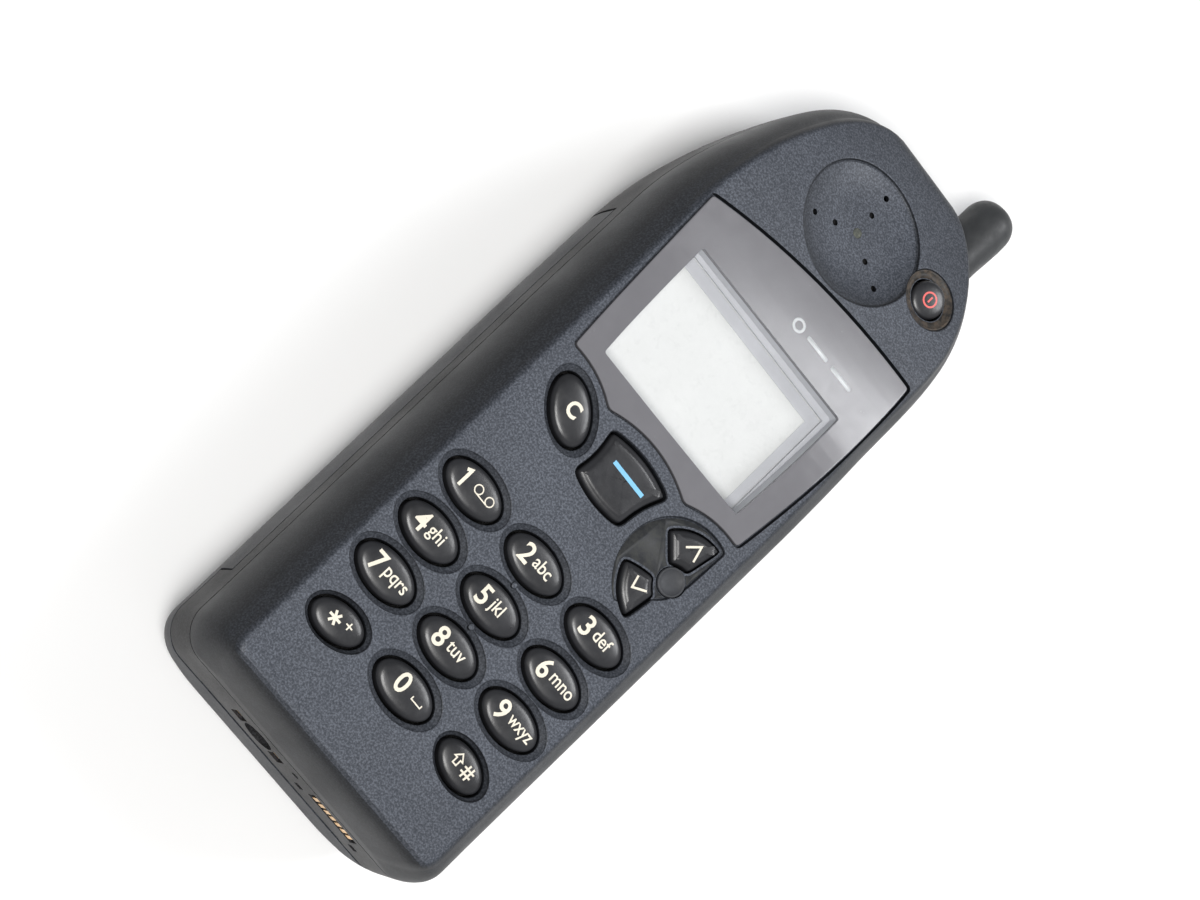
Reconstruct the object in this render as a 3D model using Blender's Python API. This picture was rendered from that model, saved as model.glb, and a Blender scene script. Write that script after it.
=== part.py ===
"""Early mobile brick phone: a hand-held telephone built as separate named parts.

The phone lies on its back.  X runs across the face, Y runs along the phone toward the
antenna and Z rises out of the face.  Every dimension below is in millimetres.  Heights are
given from the face plane (negative is deeper into the phone) and lengths along Y from the
middle of the key row 1-2-3.  world() turns them into metres above the floor.
"""
import math

import bmesh
import bpy
from mathutils import Vector

MM = 0.001

# Overall body
BODY_HALF_WIDTH = 23.62
BODY_HALF_WIDTH_LOW = 22.9
BODY_BOTTOM = -38.3
BODY_TOP = 85.4
BODY_THICKNESS = 30.6
CORNER_RADIUS = 4.6
SHOULDER_START = BODY_TOP - 39.2
SHOULDER_POWER = 2.1
SHOULDER_ROOT = 3.1
SHOULDER_SHIFT = 2.6
CREASE = 3.1
CREASE_TOP = 2.1
ANTENNA_TIP = BODY_TOP + 8.3
KEY_CROWN = 0.4

# Face curve: flat over the keys, then falling away toward the earpiece
CURVE_START = BODY_TOP - 52.4
CURVE_RATE = 0.0095
SEAM_DEPTH = 11.0
SEAM_RATE = 0.005

# Shell walls and fits
FIT = 0.3
FACE_WALL = 2.0
SIDE_WALL = 1.8
LIP_WALL = 1.0
LIP_HEIGHT = 1.5
BACK_WALL = 3.6

# Battery bay
BAY_FLOOR = 15.0
BAY_START = -27.0
BAY_END = 45.0
CHIN_DEPTH = 20.0
FLOOR_TOP = 12.1
BACK_RISE = 0.17

# Keys
KEY_PITCH_X = 12.5
KEY_ROWS = (0.0, -7.9, -15.6)
ZERO_ROW = -23.45
LAST_ROW = -24.3
LAST_COLUMN = 12.2
LAST_TILT = 9.5
KEY_HOLE = (5.15, 3.1)
LAST_KEY_HOLE = (4.35, 2.8)
DISH_WIDTH = 0.6
DISH_DEPTH = 0.6
FLANGE_TOP = 2.3
FLANGE_BOTTOM = 2.9
FLANGE_REACH = 0.25
STEM_BOTTOM = 6.4
STEM_SHARE = 0.45
WEB_TOP = 3.9
WEB_BOTTOM = 4.6
DOME_SHEET_TOP = 7.5
DOME_SHEET_BOTTOM = 7.7

# Clear, menu and scroll keys
CLEAR_KEY = (-11.4, 16.7)
CLEAR_HOLE = (5.1, 3.2)
CLEAR_TILT = -37.0
SCROLL_CENTRE = (14.5, 12.7)
SCROLL_REACH = 8.3
SCROLL_DOT = 2.1
SCROLL_RECESS = 0.45
MENU_KEY = (0.2, 15.6)
UP_KEY = (13.2, 17.2)
DOWN_KEY = (11.6, 8.4)

# Power key
POWER_KEY = (13.8, 69.7)
POWER_RADIUS = 2.7
POWER_DISH = 4.4
POWER_BOARD_GAP = 0.79

# Earpiece
EAR_CENTRE = (0.0, 67.4)
EAR_RADIUS = 10.3
EAR_DEPTH = 0.9
EAR_HOLE = 0.45
EAR_RINGS = (4.0, 7.8)

# Display
WINDOW_THICKNESS = 0.8
WINDOW_RECESS = 1.0
LCD_HALF_WIDTH = 16.0
LCD_BOTTOM = 24.6
LCD_TOP = 47.4
LCD_FRAME_TOP = 3.7
LCD_FLANGE = 0.4
LCD_VIEW_HALF_WIDTH = 14.4
LCD_VIEW_BOTTOM = 25.0
LCD_VIEW_TOP = 44.8

# Main board
BOARD_TOP = 8.0
BOARD_THICKNESS = 1.2
BOARD_INSET = 4.2
BOARD_END = 57.3

# Antenna
ANTENNA_X = 16.4
ANTENNA_DEPTH = 20.6
ANTENNA_RADIUS = 3.9
ANTENNA_ROOT = BODY_TOP - 17.1
STUD_RADIUS = 2.2
COVER_BORE_FIT = 0.2
TEST_SOCKET = (10.5, 64.5)

# Bottom connectors, measured across the bottom end
JACK_X = -4.7
JACK_DEPTH = 15.4
CHARGE_OFFSET = 3.65
CONTACT_FIRST = 6.3
CONTACT_PITCH = 1.1
CONTACT_COUNT = 7
CONTACT_WIDTH = 0.7
CONTACT_DEPTH = 13.7
MICROPHONE_X = 2.0
END_FACE = BODY_BOTTOM + SIDE_WALL + FIT

# SIM card
SIM_LENGTH = 25.0
SIM_WIDTH = 15.0
SIM_FRONT = 5.0
SIM_TRAVEL = 14.0

# Battery
HINGE_Y = BODY_BOTTOM + 1.0
HINGE_DEPTH = 20.15
HINGE_RADIUS = 0.8
CELL_SIZE = (12.0, 62.0, 9.6)
CELL_CORNER = 1.5
CELL_BULGE = 0.2
END_GAP = 0.5

# Fasteners
SCREW_SPOTS = ((-16.6, -30.5), (16.6, -30.5), (-16.6, 53.5), (16.6, 53.5))
SCREW_SHAFT = 0.9
SCREW_HEAD = 1.8

# Bodies whose Boolean joins need the manifold solver
CURVED_SHELLS = ("front_cover", "rear_housing")

MIDDLE_Y = (BODY_BOTTOM + ANTENNA_TIP) / 2
FLOOR_Z = -BODY_THICKNESS


def world(x, y, z):
    """Phone millimetres to world metres."""
    return Vector((x, y - MIDDLE_Y, z - FLOOR_Z)) * MM


# ------------------------------------------------------------------ shared shape rules

def face_drop(y):
    """How far the face has fallen below the key plane at y."""
    reach = max(0.0, y - CURVE_START)
    return 0.5 * CURVE_RATE * reach * reach


def seam_z(y):
    """Height of the seam between the front cover and the rear housing."""
    reach = max(0.0, y - CURVE_START)
    return -SEAM_DEPTH - 0.5 * SEAM_RATE * reach * reach


def back_z(y):
    """Height of the back surface, which climbs toward the antenna end."""
    return -BODY_THICKNESS + BACK_RISE * max(0.0, y - BAY_END)


def side_fall(x, y):
    """How far the face falls below its middle line at x."""
    width = half_width(y)
    shoulder, crease = shoulder_size(y, width)
    reach = abs(x - centre_shift(y))
    steps = ((width * 0.4, 0.0), (width - crease * 1.45, shoulder * 0.05),
             (width - crease * 1.15, shoulder * 0.3), (width - crease, shoulder))
    for (near, high), (far, low) in zip(steps, steps[1:]):
        if reach <= far:
            return high + (low - high) * (max(reach, near) - near) / (far - near)
    return shoulder


def shoulder_size(y, width, top=None):
    """Depth and plan width of the rounded long edge of the face."""
    top = -face_drop(y) if top is None else top
    upward = min(1.0, max(0.0, (y - SHOULDER_START) / 20.0))
    crease = CREASE + (CREASE_TOP - CREASE) * upward
    return min(1.3, (top - seam_z(y)) * 0.3), min(crease, width * 0.3)


def end_drop(distance):
    """Rounding of the face edge at the two ends, by distance from the end."""
    steps = ((0.0, 9.0), (0.5, 4.6), (1.3, 1.6), (2.3, 0.5), (3.4, 0.0))
    for (near, high), (far, low) in zip(steps, steps[1:]):
        if distance <= far:
            return high + (low - high) * (max(distance, near) - near) / (far - near)
    return 0.0


def half_width(y, inset=0.0):
    """Half the plan width at y, for an outline drawn in by inset."""
    blend = min(1.0, max(0.0, (y + 30.0) / 60.0))
    width = BODY_HALF_WIDTH_LOW + (BODY_HALF_WIDTH - BODY_HALF_WIDTH_LOW) * blend - inset
    radius = max(CORNER_RADIUS - inset, 0.8)
    into_corner = BODY_BOTTOM + inset + radius - y
    if into_corner > 0:
        into_corner = min(into_corner, radius)
        width -= radius - math.sqrt(radius * radius - into_corner * into_corner)
    if y > SHOULDER_START:
        t = min(0.9999, (y - SHOULDER_START) / (BODY_TOP - inset - SHOULDER_START))
        width *= (1 - t ** SHOULDER_POWER) ** (1 / SHOULDER_ROOT)
    return width


def centre_shift(y):
    """The shoulders lean a little toward the antenna."""
    t = min(1.0, max(0.0, (y - SHOULDER_START) / 30.0))
    return SHOULDER_SHIFT * t * t * (3 - 2 * t)


def stations(inset=0.0, start=None, end=None):
    """Positions along Y at which a shell section is drawn."""
    bottom = BODY_BOTTOM + inset
    radius = max(CORNER_RADIUS - inset, 0.8)
    length = BODY_TOP - inset - SHOULDER_START
    places = [bottom + radius * f for f in (0.0, 0.12, 0.3, 0.6, 1.0)]
    places += [-20.0, 0.0, 20.0, 33.0, 39.0]
    places += [SHOULDER_START + length * f
               for f in (0.0, 0.16, 0.31, 0.45, 0.58, 0.69, 0.79, 0.87, 0.93, 0.97, 0.992)]
    if start is not None:
        places = [start] + [p for p in places if p > start + 0.4]
    if end is not None:
        places = [p for p in places if p < end - 0.4] + [end]
    return places


# ------------------------------------------------------------------ mesh helpers

def material(name, colour, roughness, metallic=0.0):
    """A plain surface with a colour, a roughness and a metallic value."""
    mat = bpy.data.materials.new(name)
    mat.use_nodes = True
    shader = mat.node_tree.nodes["Principled BSDF"]
    shader.inputs["Base Color"].default_value = (*colour, 1.0)
    shader.inputs["Roughness"].default_value = roughness
    shader.inputs["Metallic"].default_value = metallic
    return mat


def finish(name, bm, origin, mat, smooth=False):
    """Turn a bmesh drawn in phone millimetres into an object placed at origin."""
    bmesh.ops.remove_doubles(bm, verts=bm.verts, dist=0.0005)
    bmesh.ops.recalc_face_normals(bm, faces=bm.faces)
    start = world(*origin)
    for vert in bm.verts:
        vert.co = world(*vert.co) - start
    for face in bm.faces:
        face.smooth = smooth
    mesh = bpy.data.meshes.new(name)
    bm.to_mesh(mesh)
    bm.free()
    obj = bpy.data.objects.new(name, mesh)
    obj.location = start
    bpy.context.scene.collection.objects.link(obj)
    if mat is not None:
        mesh.materials.append(mat)
    return obj


def add_loft(bm, rings):
    """Join equal rings of points into one closed body with flat ends."""
    rows = [[bm.verts.new(p) for p in ring] for ring in rings]
    count = len(rows[0])
    for low, high in zip(rows, rows[1:]):
        for i in range(count):
            j = (i + 1) % count
            bm.faces.new((low[i], low[j], high[j], high[i]))
    bm.faces.new(list(reversed(rows[0])))
    bm.faces.new(rows[-1])


def add_prism(bm, outline, bottom, top):
    """Upright body standing on a plan outline."""
    add_loft(bm, [[(x, y, z) for x, y in outline] for z in (bottom, top)])


def add_box(bm, x, y, z):
    """Box between pairs of limits."""
    outline = ((x[0], y[0]), (x[1], y[0]), (x[1], y[1]), (x[0], y[1]))
    add_prism(bm, outline, z[0], z[1])


def add_rod(bm, start, end, radius, sides=16):
    """Round rod between two points."""
    axis = (Vector(end) - Vector(start)).normalized()
    across = axis.orthogonal().normalized()
    up = axis.cross(across)
    rings = []
    for point in (Vector(start), Vector(end)):
        ring = []
        for i in range(sides):
            a = 2 * math.pi * (i + 0.5) / sides
            ring.append(point + radius * (math.cos(a) * across + math.sin(a) * up))
        rings.append(ring)
    add_loft(bm, rings)


def ellipse(centre, half, tilt=0.0, sides=24):
    """Points of a turned ellipse."""
    turn = math.radians(tilt)
    points = []
    for i in range(sides):
        a = 2 * math.pi * i / sides
        u, v = half[0] * math.cos(a), half[1] * math.sin(a)
        points.append((centre[0] + u * math.cos(turn) - v * math.sin(turn),
                       centre[1] + u * math.sin(turn) + v * math.cos(turn)))
    return points


def bowed_outline(corners, bows, steps=4):
    """Outline through corners whose edges bow to their right-hand side by bows."""
    points = []
    for i, (x0, y0) in enumerate(corners):
        x1, y1 = corners[(i + 1) % len(corners)]
        length = math.hypot(x1 - x0, y1 - y0)
        nx, ny = (y1 - y0) / length, -(x1 - x0) / length
        for s in range(steps):
            t = s / steps
            lift = 4 * t * (1 - t) * bows[i]
            points.append((x0 + (x1 - x0) * t + nx * lift, y0 + (y1 - y0) * t + ny * lift))
    return points


def grown(outline, by):
    """Outline moved outward by a distance, for anticlockwise outlines."""
    moved = []
    count = len(outline)
    for i, (x, y) in enumerate(outline):
        ax, ay = outline[i - 1]
        bx, by_ = outline[(i + 1) % count]
        first = Vector((y - ay, ax - x)).normalized()
        second = Vector((by_ - y, x - bx)).normalized()
        both = (first + second).normalized()
        reach = by / max(0.5, both.dot(first))
        moved.append((x + both.x * reach, y + both.y * reach))
    return moved


def slice_at(bm, point, normal):
    """Add a line of vertices where a plane crosses the body."""
    geometry = bm.verts[:] + bm.edges[:] + bm.faces[:]
    bmesh.ops.bisect_plane(bm, geom=geometry, dist=0.0001, plane_co=point, plane_no=normal)


def follow_face(bm, across=False):
    """Bend a body drawn on the flat so that it follows the falling face."""
    y = CURVE_START
    while y < BODY_TOP:
        slice_at(bm, (0, y, 0), (0, 1, 0))
        y += 4.0
    if across:
        for x in (-18.0, -9.5, 9.5, 18.0):
            slice_at(bm, (x, 0, 0), (1, 0, 0))
    for vert in bm.verts:
        vert.co.z -= face_drop(vert.co.y)
        if across:
            vert.co.z -= side_fall(vert.co.x, vert.co.y)


def combine(target, tool, operation):
    """Add or cut one body on another; the two curved shells need the manifold solver."""
    mod = target.modifiers.new(tool.name, "BOOLEAN")
    mod.operation = operation
    mod.solver = "MANIFOLD" if target.name in CURVED_SHELLS else "EXACT"
    mod.object = tool
    tool.hide_render = True
    tool.display_type = "WIRE"


def tool_body(name, bm, origin=(0, 0, 0)):
    """A guide body used only to cut or add."""
    return finish(name, bm, origin, None)


# ------------------------------------------------------------------ shell sections

def cover_section(y, inset, sink):
    """Cross-section of the front cover at y."""
    width = half_width(y, inset)
    shift = centre_shift(y)
    from_bottom = y - (BODY_BOTTOM + inset)
    from_top = BODY_TOP - inset - y
    hollow = inset > 0
    ends = end_drop(from_bottom) + 0.45 * end_drop(from_top * 1.2)
    top = -face_drop(y) - sink - ends * (0.3 if hollow else 1.0)
    rim = seam_z(y) - 8.0 if hollow else seam_z(y)
    shoulder, crease = shoulder_size(y, width, top)
    crease *= 0.5 if hollow else 1.0
    side = top - shoulder - (top - shoulder - seam_z(y)) * 0.55
    half = [(width, rim), (width - 0.15 * crease, side),
            (width - crease, top - shoulder), (width - crease * 1.15, top - shoulder * 0.3),
            (width - crease * 1.45, top - shoulder * 0.05), (width * 0.4, top)]
    left = [(-x, z) for x, z in reversed(half)]
    return [(x + shift, y, z) for x, z in half + left]


def back_section(y, inset, top, sink=0.0, rounding=0.0):
    """Cross-section of the rear housing or battery at y, closed by a flat top."""
    width = half_width(y, inset)
    shift = centre_shift(y)
    seam = seam_z(y)
    base = back_z(y) + sink + rounding
    depth = seam - base
    corner = min(1.0, width / 12.0)
    half = [(width, top), (width, seam - 0.35 * depth),
            (width - 0.7 * corner, seam - 0.66 * depth),
            (width - 2.6 * corner, seam - 0.88 * depth),
            (width - 6.4 * corner, base)]
    left = [(-x, z) for x, z in reversed(half)]
    return [(x + shift, y, z) for x, z in half + left]


def back_rounding(y, start, end, radius=4.0):
    """Rounding of the back surface where it meets an end."""
    lift = 0.0
    for distance in (y - start, end - y):
        if distance < radius:
            short = radius - max(distance, 0.0)
            lift = max(lift, radius - math.sqrt(radius * radius - short * short))
    return lift


# ------------------------------------------------------------------ outlines on the face

def key_spots():
    """Name, centre, hole half-sizes and tilt of every oval key."""
    names = iter("123456789")
    spots = []
    for row in KEY_ROWS:
        for column in (-KEY_PITCH_X, 0.0, KEY_PITCH_X):
            spots.append(("key_" + next(names), (column, row), KEY_HOLE, 0.0))
    spots.append(("key_0", (0.0, ZERO_ROW), KEY_HOLE, 0.0))
    spots.append(("key_star", (-LAST_COLUMN, LAST_ROW), LAST_KEY_HOLE, LAST_TILT))
    spots.append(("key_hash", (LAST_COLUMN, LAST_ROW), LAST_KEY_HOLE, -LAST_TILT))
    spots.append(("key_clear", CLEAR_KEY, CLEAR_HOLE, CLEAR_TILT))
    return spots


def menu_outline():
    """Hole of the wide menu key under the display."""
    corners = ((-5.6, 12.0), (4.3, 11.8), (6.2, 19.4), (-5.9, 19.5))
    return bowed_outline(corners, (0.8, -0.55, 1.0, -0.6), 4)


def scroll_up_outline():
    """Hole of the upper scroll key."""
    corners = ((12.5, 13.9), (15.4, 15.0), (16.5, 20.7), (9.0, 17.0))
    return bowed_outline(corners, (-0.25, 0.0, 1.2, 0.0), 4)


def scroll_down_outline():
    """Hole of the lower scroll key."""
    corners = ((13.5, 4.6), (14.3, 9.7), (12.4, 11.5), (7.6, 9.9))
    return bowed_outline(corners, (0.0, -0.2, 0.2, 1.1), 4)


def scroll_field():
    """Sunken sector that holds both scroll keys."""
    cx, cy = SCROLL_CENTRE
    points = [(cx + 1.0, cy - 2.2)]
    points.append((cx + 2.0, cy + 1.2))
    for step in range(11):
        a = math.radians(74 + step * 17.0)
        points.append((cx + SCROLL_REACH * math.cos(a), cy + SCROLL_REACH * math.sin(a)))
    return points


def window_outline():
    """Edge of the display window, with its scalloped lower edge and sloping top."""
    corners = ((-17.4, 22.8), (-8.05, 20.9), (8.05, 20.9),
               (17.3, 22.8), (19.5, 57.3), (-18.9, 51.4))
    return bowed_outline(corners, (-0.75, -1.75, -0.75, 0.55, 1.7, 0.3), 5)


# ------------------------------------------------------------------ front cover

def build_front_cover(mat):
    """Moulded front shell with its key holes, window seat and earpiece."""
    bm = bmesh.new()
    add_loft(bm, [cover_section(y, 0.0, 0.0) for y in stations()])
    cover = finish("front_cover", bm, (0, 0, 0), mat)

    bm = bmesh.new()
    add_loft(bm, [cover_section(y, SIDE_WALL, FACE_WALL) for y in stations(SIDE_WALL)])
    combine(cover, tool_body("guide_cover_hollow", bm), "DIFFERENCE")

    bm = bmesh.new()
    add_prism(bm, grown(window_outline(), FIT), -WINDOW_RECESS, 3.0)
    follow_face(bm, True)
    combine(cover, tool_body("guide_window_seat", bm), "DIFFERENCE")
    bm = bmesh.new()
    add_prism(bm, scroll_field(), -SCROLL_RECESS, 3.0)
    combine(cover, tool_body("guide_scroll_field", bm), "DIFFERENCE")

    bm = bmesh.new()
    for _, centre, half, tilt in key_spots():
        rings = []
        for depth, reach in ((-3.2, 0.0), (-DISH_DEPTH, 0.0),
                             (0.0, DISH_WIDTH), (1.0, DISH_WIDTH)):
            size = (half[0] + reach, half[1] + reach)
            rings.append([(x, y, depth) for x, y in ellipse(centre, size, tilt, 18)])
        add_loft(bm, rings)
    for outline in (menu_outline(), scroll_up_outline(), scroll_down_outline()):
        add_prism(bm, outline, -3.2, 2.0)
    combine(cover, tool_body("guide_key_holes", bm), "DIFFERENCE")

    bm = bmesh.new()
    add_box(bm, (-LCD_HALF_WIDTH + 0.2, LCD_HALF_WIDTH - 0.2), (LCD_BOTTOM, LCD_TOP), (-9.0, 3.0))
    x, y = POWER_KEY
    add_rod(bm, (x, y, -14.0), (x, y, 3.0), POWER_RADIUS + FIT, 20)
    add_rod(bm, (ANTENNA_X, ANTENNA_ROOT - FIT, -ANTENNA_DEPTH), (ANTENNA_X, ANTENNA_TIP, -ANTENNA_DEPTH),
            ANTENNA_RADIUS + COVER_BORE_FIT, 24)
    combine(cover, tool_body("guide_openings", bm), "DIFFERENCE")

    bm = bmesh.new()
    rings = []
    for size, depth in ((EAR_RADIUS - 3.0, -EAR_DEPTH), (EAR_RADIUS - 1.0, -EAR_DEPTH * 0.75),
                        (EAR_RADIUS, 0.0), (EAR_RADIUS, 3.0)):
        rings.append([(px, py, depth) for px, py in ellipse(EAR_CENTRE, (size, size), 0, 28)])
    add_loft(bm, rings)
    follow_face(bm)
    combine(cover, tool_body("guide_ear_dish", bm), "DIFFERENCE")

    bm = bmesh.new()
    rings = []
    for size, depth in ((POWER_RADIUS + 0.5, -1.0), (POWER_DISH, 0.0), (POWER_DISH, 3.0)):
        rings.append([(px, py, depth) for px, py in ellipse(POWER_KEY, (size, size), 0, 20)])
    add_loft(bm, rings)
    follow_face(bm)
    combine(cover, tool_body("guide_power_dish", bm), "DIFFERENCE")

    bm = bmesh.new()
    for x, y in ear_holes():
        add_rod(bm, (x, y, -face_drop(y) - 4.0), (x, y, 1.0), EAR_HOLE, 8)
    x, y = SCROLL_CENTRE
    add_rod(bm, (x, y, -0.9), (x, y, 2.0), SCROLL_DOT, 16)
    combine(cover, tool_body("guide_small_holes", bm), "DIFFERENCE")

    bm = bmesh.new()
    for row in (KEY_ROWS[0] + KEY_ROWS[1], KEY_ROWS[1] + KEY_ROWS[2]):
        add_rod(bm, (0, row / 2, -0.5), (0, row / 2, 0.25), 0.45, 10)
    combine(cover, tool_body("guide_finding_pips", bm), "UNION")
    return cover


def ear_holes():
    """Centres of the sound holes on their three arms."""
    cx, cy = EAR_CENTRE
    return [(cx + r * math.cos(math.radians(a)), cy + r * math.sin(math.radians(a)))
            for a in (90, 210, 330) for r in EAR_RINGS]


def build_window(mat):
    """Curved display window that sits in its seat in the cover."""
    bm = bmesh.new()
    low = WINDOW_RECESS - 0.05
    add_prism(bm, window_outline(), -low, WINDOW_THICKNESS - low)
    follow_face(bm, True)
    return finish("display_window", bm, (0, 0, 0), mat)


def face_frame(centre, depth):
    """A point under the face and the direction square to the face there."""
    slope = CURVE_RATE * max(0.0, centre[1] - CURVE_START)
    normal = Vector((0, slope, 1)).normalized()
    point = Vector((centre[0], centre[1], -face_drop(centre[1]))) - normal * depth
    return point, normal


def build_ear_parts(mats):
    """Dust mesh, foam ring and speaker, stacked square to the face."""
    bm = bmesh.new()
    point, normal = face_frame(EAR_CENTRE, FACE_WALL + 0.9)
    add_rod(bm, point, point + normal * 0.25, EAR_RADIUS - 1.6, 24)
    mesh = finish("earpiece_mesh", bm, (0, EAR_CENTRE[1], 0), mats["mesh"])

    bm = bmesh.new()
    point, normal = face_frame(EAR_CENTRE, FACE_WALL + 2.2)
    add_rod(bm, point, point + normal * 0.9, EAR_RADIUS - 2.0, 24)
    gasket = finish("earpiece_gasket", bm, (0, EAR_CENTRE[1], 0), mats["foam"])
    bm = bmesh.new()
    add_rod(bm, point - normal, point + normal * 2, EAR_RADIUS - 4.2, 24)
    combine(gasket, tool_body("guide_gasket_bore", bm), "DIFFERENCE")

    bm = bmesh.new()
    point, normal = face_frame(EAR_CENTRE, FACE_WALL + 5.6)
    add_rod(bm, point, point + normal * 3.1, EAR_RADIUS - 2.6, 24)
    speaker = finish("earpiece_speaker", bm, (0, EAR_CENTRE[1], 0), mats["steel"])
    bm = bmesh.new()
    add_rod(bm, point + normal * 2.4, point + normal * 4, EAR_RADIUS - 4.4, 24)
    combine(speaker, tool_body("guide_speaker_cone", bm), "DIFFERENCE")
    return mesh, gasket, speaker


# ------------------------------------------------------------------ keys

def key_body(name, outline, centre, mat):
    """Domed cap on a flange and a stem; the cap clears its hole on every side."""
    cx, cy = centre
    cap = grown(outline, -FIT)

    def sized(points, factor):
        return [(cx + (x - cx) * factor, cy + (y - cy) * factor) for x, y in points]

    levels = [(cap, 1.0, -FLANGE_TOP), (cap, 1.0, -0.25), (cap, 0.9, 0.12), (cap, 0.5, KEY_CROWN)]
    bm = bmesh.new()
    flange = grown(outline, FLANGE_REACH)
    stem = sized(cap, STEM_SHARE)
    rings = [[(x, y, -STEM_BOTTOM) for x, y in stem], [(x, y, -FLANGE_BOTTOM) for x, y in stem]]
    rings.append([(x, y, -FLANGE_BOTTOM) for x, y in flange])
    rings.append([(x, y, -FLANGE_TOP) for x, y in flange])
    for points, factor, z in levels:
        rings.append([(x, y, z) for x, y in sized(points, factor)])
    add_loft(bm, rings)
    return finish(name, bm, (cx, cy, 0), mat)


def build_keys(mat):
    """All seventeen keys, each free to be pressed."""
    for name, centre, half, tilt in key_spots():
        key_body(name, ellipse(centre, half, tilt, 16), centre, mat)
    key_body("key_menu", menu_outline(), MENU_KEY, mat)
    key_body("key_up", scroll_up_outline(), UP_KEY, mat)
    key_body("key_down", scroll_down_outline(), DOWN_KEY, mat)
    build_power_key(mat)


def build_power_key(mat):
    """Round power key, set in its own dish beside the earpiece."""
    x, y = POWER_KEY
    face = -face_drop(y)
    under = face - FACE_WALL - 2.4
    profile = ((1.4, under - 3.2), (1.4, under - 0.6), (POWER_RADIUS + 0.6, under - 0.6),
               (POWER_RADIUS + 0.6, under), (POWER_RADIUS, under), (POWER_RADIUS, face - 0.7),
               (POWER_RADIUS * 0.8, face - 0.3), (POWER_RADIUS * 0.4, face - 0.12))
    bm = bmesh.new()
    add_loft(bm, [[(px, py, z) for px, py in ellipse(POWER_KEY, (r, r), 0, 16)]
                  for r, z in profile])
    return finish("key_power", bm, (x, y, 0), mat)


def switch_spots():
    """Centres of every switch on the board."""
    spots = [centre for _, centre, _, _ in key_spots()]
    return spots + [MENU_KEY, UP_KEY, DOWN_KEY]


def build_keypad_web(mat):
    """Rubber web that the key stems pass through."""
    bm = bmesh.new()
    outline = ((-18.6, -30.5), (18.6, -30.5), (18.6, 21.6), (-18.6, 21.6))
    add_prism(bm, bowed_outline(outline, (0.0,) * 4, 1), -WEB_BOTTOM, -WEB_TOP)
    web = finish("keypad_web", bm, (0, 0, 0), mat)
    bm = bmesh.new()
    for _, centre, half, tilt in key_spots():
        size = (half[0] * STEM_SHARE + FIT, half[1] * STEM_SHARE + FIT)
        add_prism(bm, ellipse(centre, size, tilt, 10), -8.0, 0.0)
    for outline, centre in key_shapes():
        cx, cy = centre
        stem = [(cx + (x - cx) * STEM_SHARE, cy + (y - cy) * STEM_SHARE) for x, y in outline]
        add_prism(bm, grown(stem, FIT), -8.0, 0.0)
    combine(web, tool_body("guide_stem_holes", bm), "DIFFERENCE")
    return web


def key_shapes():
    """Outline and centre of the three shaped keys."""
    return ((menu_outline(), MENU_KEY), (scroll_up_outline(), UP_KEY),
            (scroll_down_outline(), DOWN_KEY))


def build_dome_sheet(mat):
    """Sheet of press domes over the board."""
    bm = bmesh.new()
    add_box(bm, (-17.5, 17.5), (-27.8, 21.0), (-DOME_SHEET_BOTTOM, -DOME_SHEET_TOP))
    sheet = finish("dome_sheet", bm, (0, 0, 0), mat)
    bm = bmesh.new()
    for x, y in switch_spots():
        low = [(px, py, -DOME_SHEET_BOTTOM + 0.05) for px, py in ellipse((x, y), (1.8, 1.8), 0, 8)]
        high = [(px, py, -DOME_SHEET_TOP + 0.2) for px, py in ellipse((x, y), (1.0, 1.0), 0, 8)]
        add_loft(bm, [low, high])
    combine(sheet, tool_body("guide_domes", bm), "UNION")
    return sheet


# ------------------------------------------------------------------ rear housing

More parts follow.
